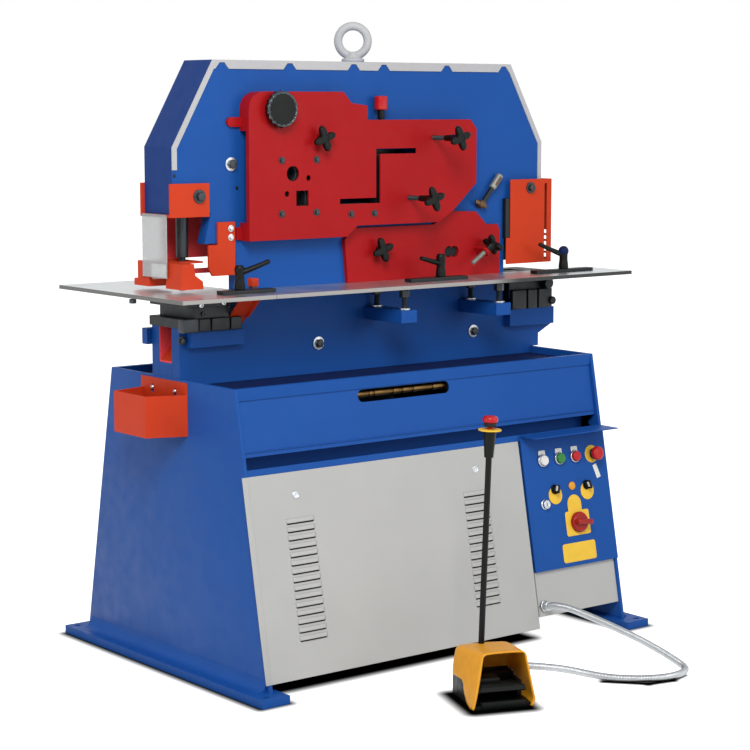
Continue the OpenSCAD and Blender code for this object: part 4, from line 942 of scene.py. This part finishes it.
class IRONWORKER_OT_stations(bpy.types.Operator):
    """Makes the blocks and screws under the tables, the stop block on the table and black sheets of
    painted shade behind the guards' holes"""
    bl_idname = "ironworker.stations"
    bl_label = "Station blocks"

    def pad(self, x, y, z, radius=3.0):
        """Block with round edges between two X, two Y and two Z values."""
        low, high = np.array([x[0], y[0], z[0]]), np.array([x[1], y[1], z[1]])
        return moved(rounded_box(high - low, radius), (low + high) / 2)

    def slug(self, wide, high):
        """Flat disc with round ends: a round-ended box pressed to 2 mm."""
        points, faces = rounded_box((wide, high, high), high / 2, 6)
        return points * [1, 1, 2 / high], faces

    def roller(self, x, z, d, y):
        """Round bar with chamfered ends along Y."""
        r, long = d / 2, y[1] - y[0]
        profile = [[0, 0], [r - 2, 0], [r, 2], [r, long - 2], [r - 2, long], [0, long]]
        return put(turned(soft(profile, 0.8)), facing(x, y[1], z))

    def screw(self, x, y, z, d):
        """Socket head screw: a drum with a hollow in its crown."""
        r = d / 2
        head = [[0, 0], [r, 0], [r, 0.8 * r], [r - 1, r], [0.55 * r, r], [0.5 * r, 0.5 * r],
                [0, 0.5 * r]]
        return put(turned(soft(head, 0.5)), facing(x, y, z))

    def execute(self, context):
        left = [(self.pad((-656, -607), (-88, -60), (926, 964)), "dark_steel")]
        for x in ((-603, -566), (-562, -504), (-500, -464)):
            left.append((self.pad(x, (-84, -58), (926, 962)), "machine_black"))
        left += [(self.screw(-606, -94, 1000, 14), "zinc_fasteners"),
                 (self.screw(-534, -94, 1003, 14), "zinc_fasteners"),
                 (self.screw(-585, -74, 974, 12), "dark_steel")]
        build("die_holder_blocks", left, angle=30)
        right = [(self.pad(x, (-78, -60), (918, 976)), "machine_black")
                 for x in ((528, 585), (591, 629), (635, 690))]
        right += [(self.roller(666, 992, 34, (-92, -62)), "machine_black"),
                  (self.roller(688, 938, 24, (-86, -62)), "machine_black")]
        build("notcher_die_blocks", right, angle=30)
        nut = turned(soft([[0, 0], [9, 0], [11, 1.6], [11, 10], [9.6, 12], [0, 12]], 0.5), 6)
        plug = turned(soft([[0, 0], [5, 0], [5, 1.2], [0, 1.2]], 0.3))
        build("table_nut_and_plug", [
            (put(nut, upright(-742, 26, 1004)), "dark_steel"),
            (put(plug, facing(-451, FRAME_FRONT, 1306)), "machine_black")], angle=30)
        stop = [(self.pad((-440, -416), (-96, -74), (1040, 1063)), "orange_paint"),
                (self.pad((-437, -419), (-93, -77), (1029, 1042), 2), "dark_steel")]
        build("table_stop_block", stop, angle=30)
        # Painted shade: a thin black sheet on the frame behind the upper guard and a black disc behind
        # the lower guard
        dark = [(self.pad((-350, -150), (-44.8, -44.2), (1240, 1385), 0.2), "machine_black"),
                (put(self.slug(54.6, 32.6), facing(302, -49, 1102)), "seal_rubber")]
        build("painted_shade_backing", dark, angle=30)
        return {"FINISHED"}


class IRONWORKER_OT_lifting_eye(bpy.types.Operator):
    """Makes the forged lifting eye with its collar"""
    bl_idname = "ironworker.lifting_eye"
    bl_label = "Lifting eye"

    def execute(self, context):
        rise, turn = 60, -38
        collar = turned(soft([[0, 0], [32.5, 0], [32.5, 10], [24, 12], [18, 18], [17, 28], [0, 28]], 4))
        ring = put(ring_bar(42, 24), upright(0, FRAME_MID, FRAME_TOP + rise, turn))
        build("lifting_eye_forged", [(put(collar, upright(0, FRAME_MID, FRAME_TOP)), "eye_paint"),
                                     (ring, "eye_paint")], nodes=("lifting_eye",))
        return {"FINISHED"}


class IRONWORKER_OT_star_knobs(bpy.types.Operator):
    """Makes the five star knobs with their threaded screws"""
    bl_idname = "ironworker.star_knobs"
    bl_label = "Star knobs"

    def head(self, neck):
        """Star grip: rings that go from a tapered neck to a four-lobed outline and back. The lobed
        radius is 15 mm plus 22 mm times a power of the raised cosine of four times the angle."""
        waist, sides = 15, 64
        # Share of the lobes, radius (in mm, or up to 1 as a part of the outline) and height
        rows = np.array([
            [0, 0, -neck], [0, 8, -neck], [0, 8.6, 0.6 - neck], [0, 9.4, -0.6 * neck],
            [0, 11.5, 0], [0, 13, 4], [0.25, 0.85, 6], [0.9, 0.92, 7.5],
            [1, 0.97, 9.5], [1, 1, 12], [1, 1, 16], [1, 0.97, 19], [1, 0.9, 20.8], [1, 0.78, 21.7],
            [0.8, 0.55, 22], [0, 11, 21.6], [0, 9.5, 21.6], [0, 9, 20.6], [0, 0, 20.9]])
        a = np.linspace(0, 2 * np.pi, sides, endpoint=False)[None]
        lobe = waist + 22 * (0.5 + 0.5 * np.cos(4 * (a - math.radians(20)))) ** 0.95
        share, radius, high = rows.T[:, :, None]
        hub = np.where(radius > 1, radius, radius * waist)
        r = (1 - share) * hub + share * np.where(radius > 1, 1, radius) * lobe
        points = np.stack([r * np.cos(a), r * np.sin(a), high + 0 * a], -1)
        return points.reshape(-1, 3), grid(len(rows), sides)

    def knob(self, name, seat, reach, steel, inside=11):
        """Grip at its reach from the seat, on a screw that goes on inside."""
        thread = threaded(14, -inside, reach + 1, sizes().thread_pitch / MM)
        neck = min(0.45 * reach + 5, reach - 1)
        grip = moved(self.head(neck), (0, 0, reach))
        build(name + "_grip", seated(seat, (grip, "black_plastic"), (thread, steel)), name, (name,),
              angle=50)

    def execute(self, context):
        self.knob("star_knob_top", facing(-205, GUARD_FRONT, 1438), 12, "dark_steel")
        self.knob("star_knob_upper", facing(208, GUARD_FRONT, 1436), 104, "machine_black")
        self.knob("star_knob_lower", facing(117, GUARD_FRONT, 1266), 98, "machine_black")
        self.knob("star_knob_front", facing(24, LOW_FRONT, 1120), 12, "dark_steel")
        self.knob("star_knob_side", along_side_screw(), 16, "worn_steel", 64)
        return {"FINISHED"}


class IRONWORKER_OT_dial_and_plunger(bpy.types.Operator):
    """Makes the scalloped dial knob, the index plunger and the cam lever"""
    bl_idname = "ironworker.dial_and_plunger"
    bl_label = "Dial, plunger and cam lever"

    def dial(self):
        """Dial: a drum whose rim has 18 scallops, radius 1 - 0.05 times a squared cosine, round a flat
        black face."""
        seat = facing(-345, GUARD_FRONT, 1518)
        rim = soft([[0, 6], [40, 6], [45, 8], [50.4, 11], [51, 13], [51, 22], [48.5, 26.6], [46, 28],
                    [44.4, 26.6], [0, 26.6]], 1.5)

        def scallop(a, h):
            return 1 - 0.05 * np.cos(9 * a) ** 2 * ((h > 8) & (h < 27.5))
        drum = turned(rim, 180, scallop)
        face = turned(soft([[0, 26], [42, 26], [42, 27.2], [40, 27.8], [0, 27.8]], 0.6), 64)
        screw = threaded(14, -11, 8, sizes().thread_pitch / MM)
        build("dial_knob_drum",
              seated(seat, (face, "black_plastic"), (drum, "dark_chrome"), (screw, "dark_steel")),
              "dial_knob", ("dial_knob",))

    def plunger(self):
        """Pin, neck and cap turned from profiles; the cap's radius falls by a fortieth times a squared
        cosine of twelve times the angle."""
        seat = upright(30, -66.5, 1488)
        pin = turned(soft([[0, -24], [4.4, -24], [5, -22], [5, 4], [0, 4]], 0.6), 28)
        neck = turned(soft([[0, 2], [10, 2], [10, 29], [0, 29]], 0.8), 28)

        def grip(a, h):
            return 1 - 0.025 * np.cos(12 * a) ** 2 * ((h > 32) & (h < 62))
        cap = soft([[0, 28], [17, 28], [19, 31], [19, 63], [17, 66], [12, 67], [0, 67]], 1.5)
        cap = turned(cap, 96, grip)
        build("index_plunger_cap",
              seated(seat, (cap, "red_plastic"), (pin, "dark_steel"), (neck, "black_plastic")),
              "index_plunger", ("index_plunger",))

    def cam(self):
        """Hub and handle turned from profiles, a rounded arm between them, and a bronze inlay let into
        the handle's front."""
        seat = facing(418, FRAME_FRONT - 0.3, 1238)
        hub = turned(soft([[0, 0], [12, 0], [12, 20], [9.5, 24], [6, 26], [5, 24], [0, 24]], 1.2))
        cross = moved(rounded_box((46, 12, 10), 3), (-4, 0, 15), 155)
        arm = moved(moved(rounded_box((66, 12, 12), 3), (33, 0, 14)), turn=CAM_TURN)
        c, s = cos_sin(CAM_TURN)
        away = ((0, 0, 0), (0, 0, -1), (-s, c, 0), (c, s, 0))
        knob = soft([[0, 60], [8, 60], [11, 63], [11, 108], [9.5, 111], [6, 112], [0, 112]], 1.2)
        end = moved(put(turned(knob), away), (0, 0, 14))
        inlay = moved(moved(rounded_box((32, 9, 3), 1.4), (88, 0, 24)), turn=CAM_TURN)
        build("cam_lever_arm",
              seated(seat, (hub, "bronze"), (cross, "bronze"), (arm, "machine_black"),
                     (end, "worn_steel"), (inlay, "bronze")),
              "cam_lever", ("cam_lever",))

    def execute(self, context):
        self.dial()
        self.plunger()
        self.cam()
        return {"FINISHED"}


class IRONWORKER_OT_clamp_levers(bpy.types.Operator):
    """Makes the three clamp levers on their bars"""
    bl_idname = "ironworker.clamp_levers"
    bl_label = "Clamp levers"

    def lever(self, name, x, turn, reach, root, rise, cap=None):
        """Hub turned from a profile, and an arm: an oval carried along a curve that rises with a power
        of the way out, thick at the root, slim in the middle and swollen at the end. A cap is a ball
        over the hub."""
        seat = upright(x, BAR_Y, TABLE_TOP + 10.3, turn)
        hub = turned(soft([[0, 0], [14, 0], [15, 2], [14.4, 14], [12.5, 26], [12.5, 42], [13.6, 46],
                           [13.6, 58], [10.5, 65], [6, 66], [5.5, 64], [0, 64]], 1.5))
        screw = turned(soft([[0, 62], [4.6, 62], [4.6, 65.6], [0, 66]], 0.5))
        s = np.linspace(0, 1, 40)
        t = 1 - (1 - s) ** 1.3
        path = np.stack([reach * t, 0 * t, root + rise * t ** 1.1], -1)
        radius = 10.8 - 4.6 * t + 1.8 * t ** 3
        radius *= np.sqrt(np.clip(1 - ((t - 0.93) / 0.07).clip(0) ** 2, 0, 1))
        radius[0] = 0
        arm = swept(path, radius, 20, 0.8)
        shapes = [(arm, "black_plastic"), (hub, "black_plastic"), (screw, "zinc_fasteners")]
        if cap:
            a, radius = np.linspace(0, np.pi, 21), 15.5
            ball = turned(np.stack([radius * np.sin(a), 53 - radius * np.cos(a)], -1))
            shapes.append((ball, cap))
        build(name + "_arm", seated(seat, *shapes), name, (name,))

    def execute(self, context):
        self.lever("clamp_lever_left", -517, -30, 82, 45, 32)
        self.lever("clamp_lever_middle", 184, 180, 76, 38, 19)
        # the right lever's ball cap is dark navy, the same finish as the painted shade on the deck
        self.lever("clamp_lever_right", 667, 145, 76, 41, 34, "navy_cap_and_deck_shade")
        return {"FINISHED"}


class IRONWORKER_OT_fasteners(bpy.types.Operator):
    """Makes the bolts, tie bolts, table studs and cover screws"""
    bl_idname = "ironworker.fasteners"
    bl_label = "Fasteners"

    def bolt(self, at, y, s, washer_slot="dark_steel", head_slot="dark_steel"):
        """Washer and hexagon head, both turned; the head has six sides and a chamfered crown."""
        seat = facing(at[0], y, at[1])
        w = s / 6
        washer = turned(soft([[0, 0], [0.85 * s, 0], [0.85 * s, w], [0, w]], 0.4), 36)
        head = turned(soft([[0, w], [0.575 * s, w], [0.575 * s, w + 0.4 * s], [0.5 * s, w + 0.5 * s],
                            [0, w + 0.5 * s]], 0.3, 2), 6)
        return seated(seat, (washer, washer_slot), (head, head_slot))

    def stud(self, x, y):
        """Threaded stud with a washer below and a hexagon nut under the table."""
        foot, nut_foot, nut_turn = 958, 993, 30
        rod = threaded(16, 0, 57, pitch=3)
        washer = turned(soft([[0, 0], [17, 0], [17, 5], [0, 5]], 0.6))
        nut = turned(soft([[0, 0], [13.6, 0], [15, 1.6], [15, 20.4], [13.6, 22], [0, 22]], 0.4), 6)
        return (seated(upright(x, y, foot), (rod, "dark_steel"), (washer, "zinc_fasteners"))
                + seated(upright(x, y, nut_foot, nut_turn), (nut, "dark_steel")))

    def cover_screw(self, x):
        """Quarter-turn screw: a crowned disc with a raised bar."""
        seat = on_front(x, 513)
        disc = turned(soft([[0, 0], [11, 0], [11, 1.6], [9.6, 2.4], [8.6, 1.2], [0, 1.4]], 0.4))
        bar = moved(rounded_box((15, 3, 3), 0.8), (0, 0, 1.5), 35)
        return seated(seat, (disc, "zinc_fasteners"), (bar, "zinc_fasteners"))

    def execute(self, context):
        surfaces = []
        # Tie bolts, guards, punch bracket, gauge plate, notcher guard and the frame's left end
        for at in ((-470, 1371), (-178, 864), (399, 860)):
            surfaces += self.bolt(at, FRAME_FRONT, 22, "zinc_fasteners")
        for at in ((-333, 1380), (-214, 1380), (-334, 1234), (-215, 1235), (-94, 1226), (-11, 1226)):
            surfaces += self.bolt(at, GUARD_FRONT, 12)
        surfaces += self.bolt((-578, 1287), BRACKET_FRONT, 22)
        for z in (1174, 1198):
            surfaces += self.bolt((-477, z), BRACKET_FRONT, 11, "zinc_fasteners", "zinc_fasteners")
        surfaces += self.bolt((609, 1282), NOTCHER_FRONT, 20)
        surfaces += self.bolt((-634, 902), FRAME_FRONT, 14)
        for x in (14, 368):
            surfaces += self.stud(x, -68) + self.stud(x, -194)
        surfaces += self.cover_screw(-490) + self.cover_screw(136)
        # Nuts on the frame's back and screws of the parts box
        nut = turned(soft([[0, 0], [17, 0], [17, 8.6], [15, 10], [0, 10]], 0.4), 6)
        for x in (-400, 500):
            back = ((x, FRAME_BACK, 860), (-1, 0, 0), (0, 0, 1), (0, 1, 0))
            surfaces.append((put(nut, back), "zinc_fasteners"))
        crown = turned(soft([[0, 0], [6, 0], [6, 1.4], [4.4, 4], [1.6, 4.4], [1.4, 3.4], [0, 3.4]], 0.5))
        for y in (-27, 86):
            hung = ((-646, y, 765), (0, 1, 0), (0, 0, 1), (-1, 0, 0))
            surfaces.append((put(crown, hung), "zinc_fasteners"))
        build("fasteners", surfaces, nodes=("bolts",), angle=30)
        return {"FINISHED"}


class IRONWORKER_OT_control_panel(bpy.types.Operator):
    """Makes the plates, buttons, stops, selectors and the main switch"""
    bl_idname = "ironworker.control_panel"
    bl_label = "Control panel"

    # X and finish of each button, X and turn of each selector
    buttons = {"button_white": (387, "white_plastic"), "button_green": (453, "green_plastic"),
               "button_red": (515, "red_plastic")}
    selectors = {"selector_left": (422, 75), "selector_right": (549, 105)}

    def plate(self, x, z, size, at=(0, 0), radius=3.0, thick=2.0):
        """Thin plate with round corners: a rounded box pressed flat."""
        points, faces = rounded_box((*size, 2 * radius), radius, 5)
        box = points * [1, 1, thick / (2 * radius)], faces
        return put(moved(box, (*at, PANEL_T + thick / 2)), on_front(x, z))

    def disc(self, x, z, d, high):
        """Flat round plate turned from a profile."""
        low, top = PANEL_T, PANEL_T + high
        return put(turned(soft([[0, low], [d / 2, low], [d / 2, top], [0, top]], 0.8)), on_front(x, z))

    def bezel(self, x, z, inner, outer, high):
        """Ring with a rounded crown, closed through its bore."""
        low, top = PANEL_T, PANEL_T + high
        ring = [[inner, low], [outer, low], [outer, top - 2], [outer - 1.5, top], [inner + 1, top],
                [inner, top - 1.5], [inner, low]]
        return put(turned(soft(ring, 0.7)), on_front(x, z))

    def plates(self):
        """Everything fixed on the panel: plates, rings, lamp, tag and key switch."""
        across = [x for x, _ in self.selectors.values()]
        surfaces = [(self.disc(x + 1, 407, 52, 2), "label_plate") for x in across]
        surfaces += [(self.bezel(x, SELECTOR_Z, 11, 14.5, 5), "black_plastic") for x in across]
        low, top = PANEL_T, PANEL_T + 1.4
        cap = turned(soft([[0, low], [27, low], [27, top], [0, top]], 0.5))
        surfaces += [(shape, "label_plate") for shape in (
            self.plate(*SWITCH_AT, (95, 72), (-0.5, -2), 7),
            self.plate(*SWITCH_AT, (54, 30), (-6, 39), 3, 1.7),
            put(moved(cap, (-6, 54, 0)), on_front(*SWITCH_AT)),
            self.plate(492, 243, (131, 55), (0, -5), 8),
            self.bezel(STOP_X, BUTTON_Z, 21, 26, 2.4),
            self.disc(STOP_X, BUTTON_Z, 50, 1.6))]
        lamp = turned(soft([[0, 4], [12, 4], [12, 8], [10, 9], [8, 11], [0, 12]], 1.2))
        surfaces.append((put(lamp, on_front(491, 427)), "yellow_plastic"))
        tag = moved(moved(rounded_box((16, 42, 2), 0.9), (0, 0, PANEL_T + 1)), turn=18)
        surfaces.append((put(tag, on_front(597, 459)), "white_plastic"))
        for x, _ in self.buttons.values():
            surfaces.append((self.plate(x + 2, BUTTON_Z + 20, (26, 17), (0, 0.5)), "white_plastic"))
            surfaces.append((self.bezel(x, BUTTON_Z, 15, 18.5, 8), "zinc_fasteners"))
        key = turned(soft([[0, 4], [15, 4], [15, 8], [12.5, 10], [12.5, 17], [11, 18], [8, 18],
                           [7.5, 16.5], [0, 16.5]], 0.8))
        slit = moved(rounded_box((2, 9, 2), 0.5), (0, 0, 16.2))
        surfaces += seated(on_front(*KEY_AT), (key, "zinc_fasteners"), (slit, "machine_black"))
        build("panel_plates_and_rings", surfaces, nodes=("panel_plates",), angle=35)

    def button(self, node, x, slot):
        """Cap turned from a profile with a dished face."""
        cap = turned(soft([[0, STEM_IN], [8, STEM_IN], [8, 10], [14.5, 10], [14.5, 18], [13, 20],
                           [11, 19.6], [0, 18.8]], 0.9))
        build(node + "_cap", [(put(cap, on_front(x, BUTTON_Z)), slot)], node, (node,))

    def stop(self, node, seat):
        """Mushroom head over a dark collar: both turned, the head with a round rim and a domed face with
        a shallow ring."""
        head = turned(soft([[0, STEM_IN], [8, STEM_IN], [8, 17], [16, 17], [20, 19.5], [20.5, 22],
                            [20.5, 27], [18.8, 31.5], [14, 34.4], [12, 34], [8, 34.8], [0, 35.2]],
                           1.6), 56)
        collar = turned(soft([[0, 6], [12, 6], [16.5, 8], [16.5, 16], [15, 18], [0, 18]], 1.0))
        build(node + "_head", seated(seat, (head, "red_plastic"), (collar, "seal_rubber")),
              node, (node,))

    def selector(self, node, x, turn):
        """Turned body, a rounded bar across it and a white line let into the bar."""
        seat = on_front(x, SELECTOR_Z)
        body = turned(soft([[0, STEM_IN], [8, STEM_IN], [8, 6.4], [10.5, 6.4], [10.5, 12], [9.5, 14.3],
                            [0, 14.3]], 1))
        bar = moved(moved(rounded_box((25, 9, 14), 3), (0, 0, 19.3)), turn=turn)
        mark = moved(moved(rounded_box((15, 1.4, 8), 0.5), (2, 4.4, 20)), turn=turn)
        build(node + "_handle",
              seated(seat, (body, "black_plastic"), (bar, "black_plastic"), (mark, "white_plastic")),
              node, (node,))

    def main_switch(self):
        """Turned body with a rounded bar across it."""
        seat = on_front(*SWITCH_AT)
        body = turned(soft([[0, STEM_IN], [8, STEM_IN], [8, 6.4], [30, 6.4], [30, 15], [27, 20.3],
                            [0, 20.3]], 2), 56)
        bar = moved(moved(rounded_box((60, 16, 20), 5), (4, 0, 27)), turn=-6)
        build("main_switch_handle", seated(seat, (body, "dark_red"), (bar, "dark_red")),
              "main_switch", ("main_switch",))

    def execute(self, context):
        self.plates()
        for node, (x, slot) in self.buttons.items():
            self.button(node, x, slot)
        origin, *axes = on_front(STOP_X, BUTTON_Z)
        lifted = np.array(origin) + (PANEL_T + 2) * np.array(axes[2])
        self.stop("panel_stop", (lifted, *axes))
        self.stop("pole_stop", on_pole(POLE_TOP))
        for node, (x, turn) in self.selectors.items():
            self.selector(node, x, turn)
        self.main_switch()
        return {"FINISHED"}


class IRONWORKER_OT_pedal(bpy.types.Operator):
    """Makes the foot pedal: base, pole, grip, hood and the ribbed treadle"""
    bl_idname = "ironworker.pedal"
    bl_label = "Foot pedal"

    def hood(self):
        """Moulded hood on t along its U-shaped plan, -1 and 1 at the tips and 0 behind, and on rows from
        the lower edge up the wall, round the edge and over the roof to the middle. The depth falls from
        the back with the fourth power of t, the width grows as 1 - (1 - t)^4 times half the width, and
        that half shrinks upwards with a power of the height, most at the front. The right wall curls in
        at its lower edge."""
        wall, bend, roof, round_edge = 22, 6, 8, 9
        t = np.linspace(-1, 1, 161)[None]
        rise = np.concatenate([np.linspace(0, 1, wall), np.ones(bend + roof)])[:, None]
        turn = np.concatenate([np.zeros(wall), np.linspace(0, np.pi / 2, bend + 1)[1:],
                               np.full(roof, np.pi / 2)])[:, None]
        over = np.concatenate([np.zeros(wall + bend), np.linspace(0, 1, roof + 1)[1:]])[:, None]
        edge = round_edge * (1 - np.cos(turn))
        front, back = 28 * rise - 98, 93 - 7 * rise ** 2 - edge
        y = back - (back - front) * t ** 4
        share = np.clip((y + 92) / 172, 0, 1)
        top = 140 - 13 * share ** 1.2
        low = np.where(
            t < 0, np.interp(-t, [0, 0.82, 0.85, 0.87, 0.93, 0.97, 1], [54, 58, 50, 34, 10, 3, 5]),
            np.interp(t, [0, 0.55, 0.65, 0.75, 0.85, 0.97, 1], [54, 50, 30, 9, 2, 2, 5]))
        z = (low + (top - round_edge - low) * rise + round_edge * np.sin(turn)
             + 1.5 * (1 - (1 - over) ** 2))
        lean = (z / 138) ** (0.9 + 0.7 * share)

        def between(foot, head):
            return foot - (foot - head) * lean
        left = between(87 - 2 * share, 45 + 28 * share)
        right = between(84 + share, 61 + 10 * share)
        right = right - 16 * np.clip(1 - z / 24, 0, 1) ** 1.4 * (1 - share)
        half = np.where(t < 0, left, right) - edge
        x = np.sign(t) * half * (1 - (1 - np.abs(t)) ** 4) * (1 - over)
        points = np.stack(np.broadcast_arrays(x, y, z), -1).reshape(-1, 3)
        sheet = put((points, grid(*z.shape, False)), on_pedal(0, 0, 0))
        shell = build("pedal_hood_shell", [(sheet, "yellow_plastic")], nodes=("pedal_hood",), angle=60)
        walled(shell, 4)

    def execute(self, context):
        # The grip's top is yellow
        yellow_from = 0.6955
        dressed("pedal_base", "black_plastic", 1.5 * MM, 3,
                ("label_plate", lambda c, n: c[:, 2] > yellow_from))
        self.hood()
        dressed("foot_pedal", "black_plastic", 2.0 * MM, 3)
        rib = rounded_box((112, 5, 5), 2)
        ribs = [(put(rib, on_pedal(0, 4 - 82 * t, 46 + 10 * t)), "black_plastic")
                for t in (np.arange(7) + 0.8) / 7.6]
        ribs.append((put(rounded_box((64, 44, 24), 5), on_pedal(-22, -14, 56)), "black_plastic"))
        build("foot_pedal_ribs", ribs, "foot_pedal")
        walls = [(put(rounded_box(size, 2), on_pedal(*at)), "black_plastic") for size, at in (
            ((5, 104, 66), (-75, 36, 33)), ((5, 60, 44), (75, 58, 22)), ((150, 5, 62), (0, 85, 31)),
            ((120, 16, 20), (0, -82, 10)))]
        build("pedal_base_walls", walls, angle=30)
        return {"FINISHED"}


CLASSES = (
    IronworkerColours, IronworkerSizes, IRONWORKER_OT_stage, IRONWORKER_OT_hose,
    IRONWORKER_OT_painted_steel, IRONWORKER_OT_bare_steel, IRONWORKER_OT_louvres,
    IRONWORKER_OT_chute, IRONWORKER_OT_stations, IRONWORKER_OT_lifting_eye,
    IRONWORKER_OT_star_knobs, IRONWORKER_OT_dial_and_plunger, IRONWORKER_OT_clamp_levers,
    IRONWORKER_OT_fasteners, IRONWORKER_OT_control_panel, IRONWORKER_OT_pedal,
)
OPERATORS = tuple(c for c in CLASSES if issubclass(c, bpy.types.Operator))


class IRONWORKER_PT_pieces(bpy.types.Panel):
    """Lists the settings and the pieces in the order in which they are made"""
    bl_idname = "IRONWORKER_PT_pieces"
    bl_label = "Ironworker"
    bl_space_type = "VIEW_3D"
    bl_region_type = "UI"
    bl_category = "Ironworker"

    def draw(self, context):
        for group in (context.scene.ironworker_colours, context.scene.ironworker_sizes):
            for key in group.__annotations__:
                self.layout.prop(group, key)
        for operator in OPERATORS:
            self.layout.operator(operator.bl_idname)


def register():
    """Registers the classes and gives the scene its settings."""
    for cls in (*CLASSES, IRONWORKER_PT_pieces):
        bpy.utils.register_class(cls)
    bpy.types.Scene.ironworker_colours = bpy.props.PointerProperty(type=IronworkerColours)
    bpy.types.Scene.ironworker_sizes = bpy.props.PointerProperty(type=IronworkerSizes)


def unregister():
    """Takes the settings and the classes away again."""
    del bpy.types.Scene.ironworker_sizes
    del bpy.types.Scene.ironworker_colours
    for cls in reversed((*CLASSES, IRONWORKER_PT_pieces)):
        bpy.utils.unregister_class(cls)


def main():
    """Makes all pieces in order."""
    register()
    for operator in OPERATORS:
        family, name = operator.bl_idname.split(".")
        getattr(getattr(bpy.ops, family), name)()


if __name__ == "__main__":
    main()
